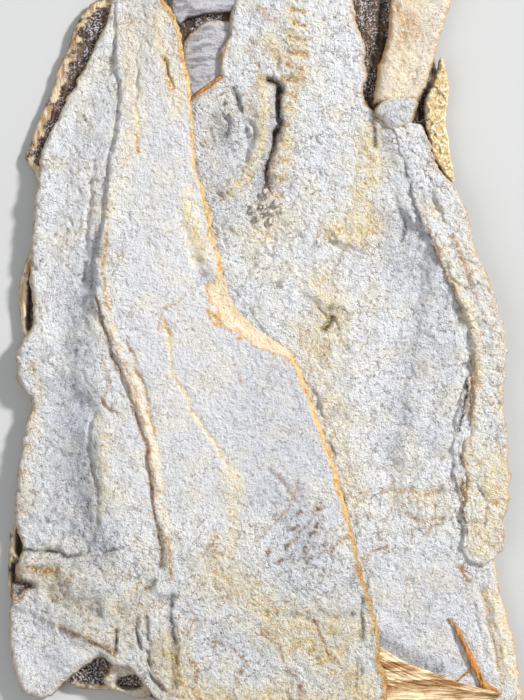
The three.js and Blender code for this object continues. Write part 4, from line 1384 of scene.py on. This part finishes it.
def pale_skin_material():
    """The bare membrane and strip between the sides: smooth, grey-white, lightly dusted."""
    n = Nodes("pale_skin")
    streak = n.noise(4, 4, 0.7, 0.3, ((0.3, 1, 1), 0.2))
    grains = n.noise(1.8, 3, 0.7)
    tan = n.times(n.attribute("tan"), n.ramp(n.noise(3, 3, 0.6), 0.3, 0.6, 0.5, 1))
    colour = n.coats(n.mix(n.ramp(streak, 0.36, 0.56), (128, 125, 130), (182, 180, 184)), [
        (tan, (214, 178, 122)),
        (n.ramp(grains, 0.6, 0.68, 0, 0.7), (112, 96, 82)),
        # dark: painted shade, under the right side's edge on the membrane and along the strip's near
        # edge
        (n.attribute("dark"), (54, 42, 34)),
    ])
    return n.finish(colour, 0.55, n.plus(n.times(grains, 1.2), n.times(streak, 0.4)))


def fin_material():
    """Yellow dried fat and sinew: wavy, slightly glossy, brown in its folds."""
    n = Nodes("rim")
    waves = n.noise(2.6, 3, 0.6, 1.4)
    hollow = n.attribute("hollow")
    colour = n.coats(n.mix(n.ramp(waves, 0.38, 0.58), (214, 174, 104), (240, 226, 186)), [
        (n.ramp(hollow, -0.2, -0.9, 0, 0.8), (248, 244, 226)),
        (n.ramp(hollow, 0.1, 0.9, 0, 0.6), (180, 122, 50)),
        (n.attribute("rust"), (120, 74, 30)),
    ])
    return n.finish(colour, 0.5, n.times(waves, 3))


def strand_material():
    """Dry sinew strands: straw and tan along their length, brown between them."""
    n = Nodes("strand")
    streak = n.noise(5, 4, 0.65, 0.3, ((0.12, 1.5, 1), 0.2))
    colour = n.coats(n.mix(n.ramp(streak, 0.38, 0.6), (158, 110, 58), (240, 219, 178)), [
        (n.ramp(n.noise(14, 3, 0.6), 0.5, 0.64, 0, 0.5), (150, 100, 46)),
        (n.ramp(n.noise(1.2, 2), 0.62, 0.72, 0, 0.5), (110, 70, 32)),
    ])
    return n.finish(colour, 0.45, n.times(streak, 1.6))


def string_material():
    """The loose string: brown and tough, with salt caught on it."""
    n = Nodes("string")
    streak = n.noise(2.4, 3, 0.6, 0.3, ((1.5, 0.3, 1), 0))
    colour = n.coats(n.mix(n.ramp(streak, 0.34, 0.62), (144, 84, 30), (198, 136, 58)), [
        (n.ramp(n.noise(1.1, 2), 0.62, 0.7, 0, 0.4), (226, 196, 150)),
    ])
    return n.finish(colour, 0.5, n.times(n.noise(1.4, 3), 1.2))


# The scene around the fish

def make_floor():
    corners = [(-1, -1, 0), (1, -1, 0), (1, 1, 0), (-1, 1, 0)]
    floor = mesh_object("floor", FLOOR_HALF * np.array(corners), [(0, 1, 2, 3)])
    floor.data.materials.append(Nodes("floor").finish(srgb(*FLOOR_COLOUR), 0.9))


def make_light(name, place, power, size):
    light = bpy.data.lights.new(name, "AREA")
    light.energy = power
    light.size = size
    x, y, z = place
    lamp = placed(name, light)
    lamp.location = place
    lamp.rotation_euler = (0, math.atan2(math.hypot(x, y), z), math.atan2(y, x))


def make_world():
    world = bpy.data.worlds.new("studio")
    world.use_nodes = True
    background = world.node_tree.nodes["Background"]
    background.inputs["Color"].default_value = SKY_COLOUR
    background.inputs["Strength"].default_value = SKY_STRENGTH
    bpy.context.scene.world = world


def make_camera():
    camera = bpy.data.cameras.new("camera")
    camera.sensor_width = SENSOR
    camera.lens = SENSOR * CAMERA_DISTANCE / VIEW_HEIGHT
    camera.clip_end = 20
    eye = placed("camera", camera)
    eye.location = (VIEW_CENTRE[0] * MM, VIEW_CENTRE[1] * MM, (CAMERA_DISTANCE + RIGHT_TOP) * MM)
    bpy.context.scene.camera = eye


def show_true_colours():
    """Shows the colours as they are lit, so that they can be set against the photograph's."""
    bpy.context.scene.view_settings.view_transform = "Standard"


def dress(makers, material):
    """Makes pieces, gives them their material and their body, and hides the solid they stand for."""
    for make in makers:
        piece = make()
        piece.data.materials.append(material)
        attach(piece, "root")
        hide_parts("ling")


make_camera()
make_world()
show_true_colours()
make_light("key", (3.2, 2.2, 3.0), 324, 0.6)
make_light("fill", (-2.4, -1.0, 3.4), 60, 3.2)
make_floor()

dress([make_left_side, make_right_side, make_belly_rim, make_nape_flap, make_knuckle, make_curl,
       make_crumbs], flesh_material())
dress([make_lower_side], skin_material())
dress([make_membrane, make_tail_strip], pale_skin_material())
dress([make_fin_base], fin_material())
dress([make_strands], strand_material())
dress([make_string], string_material())
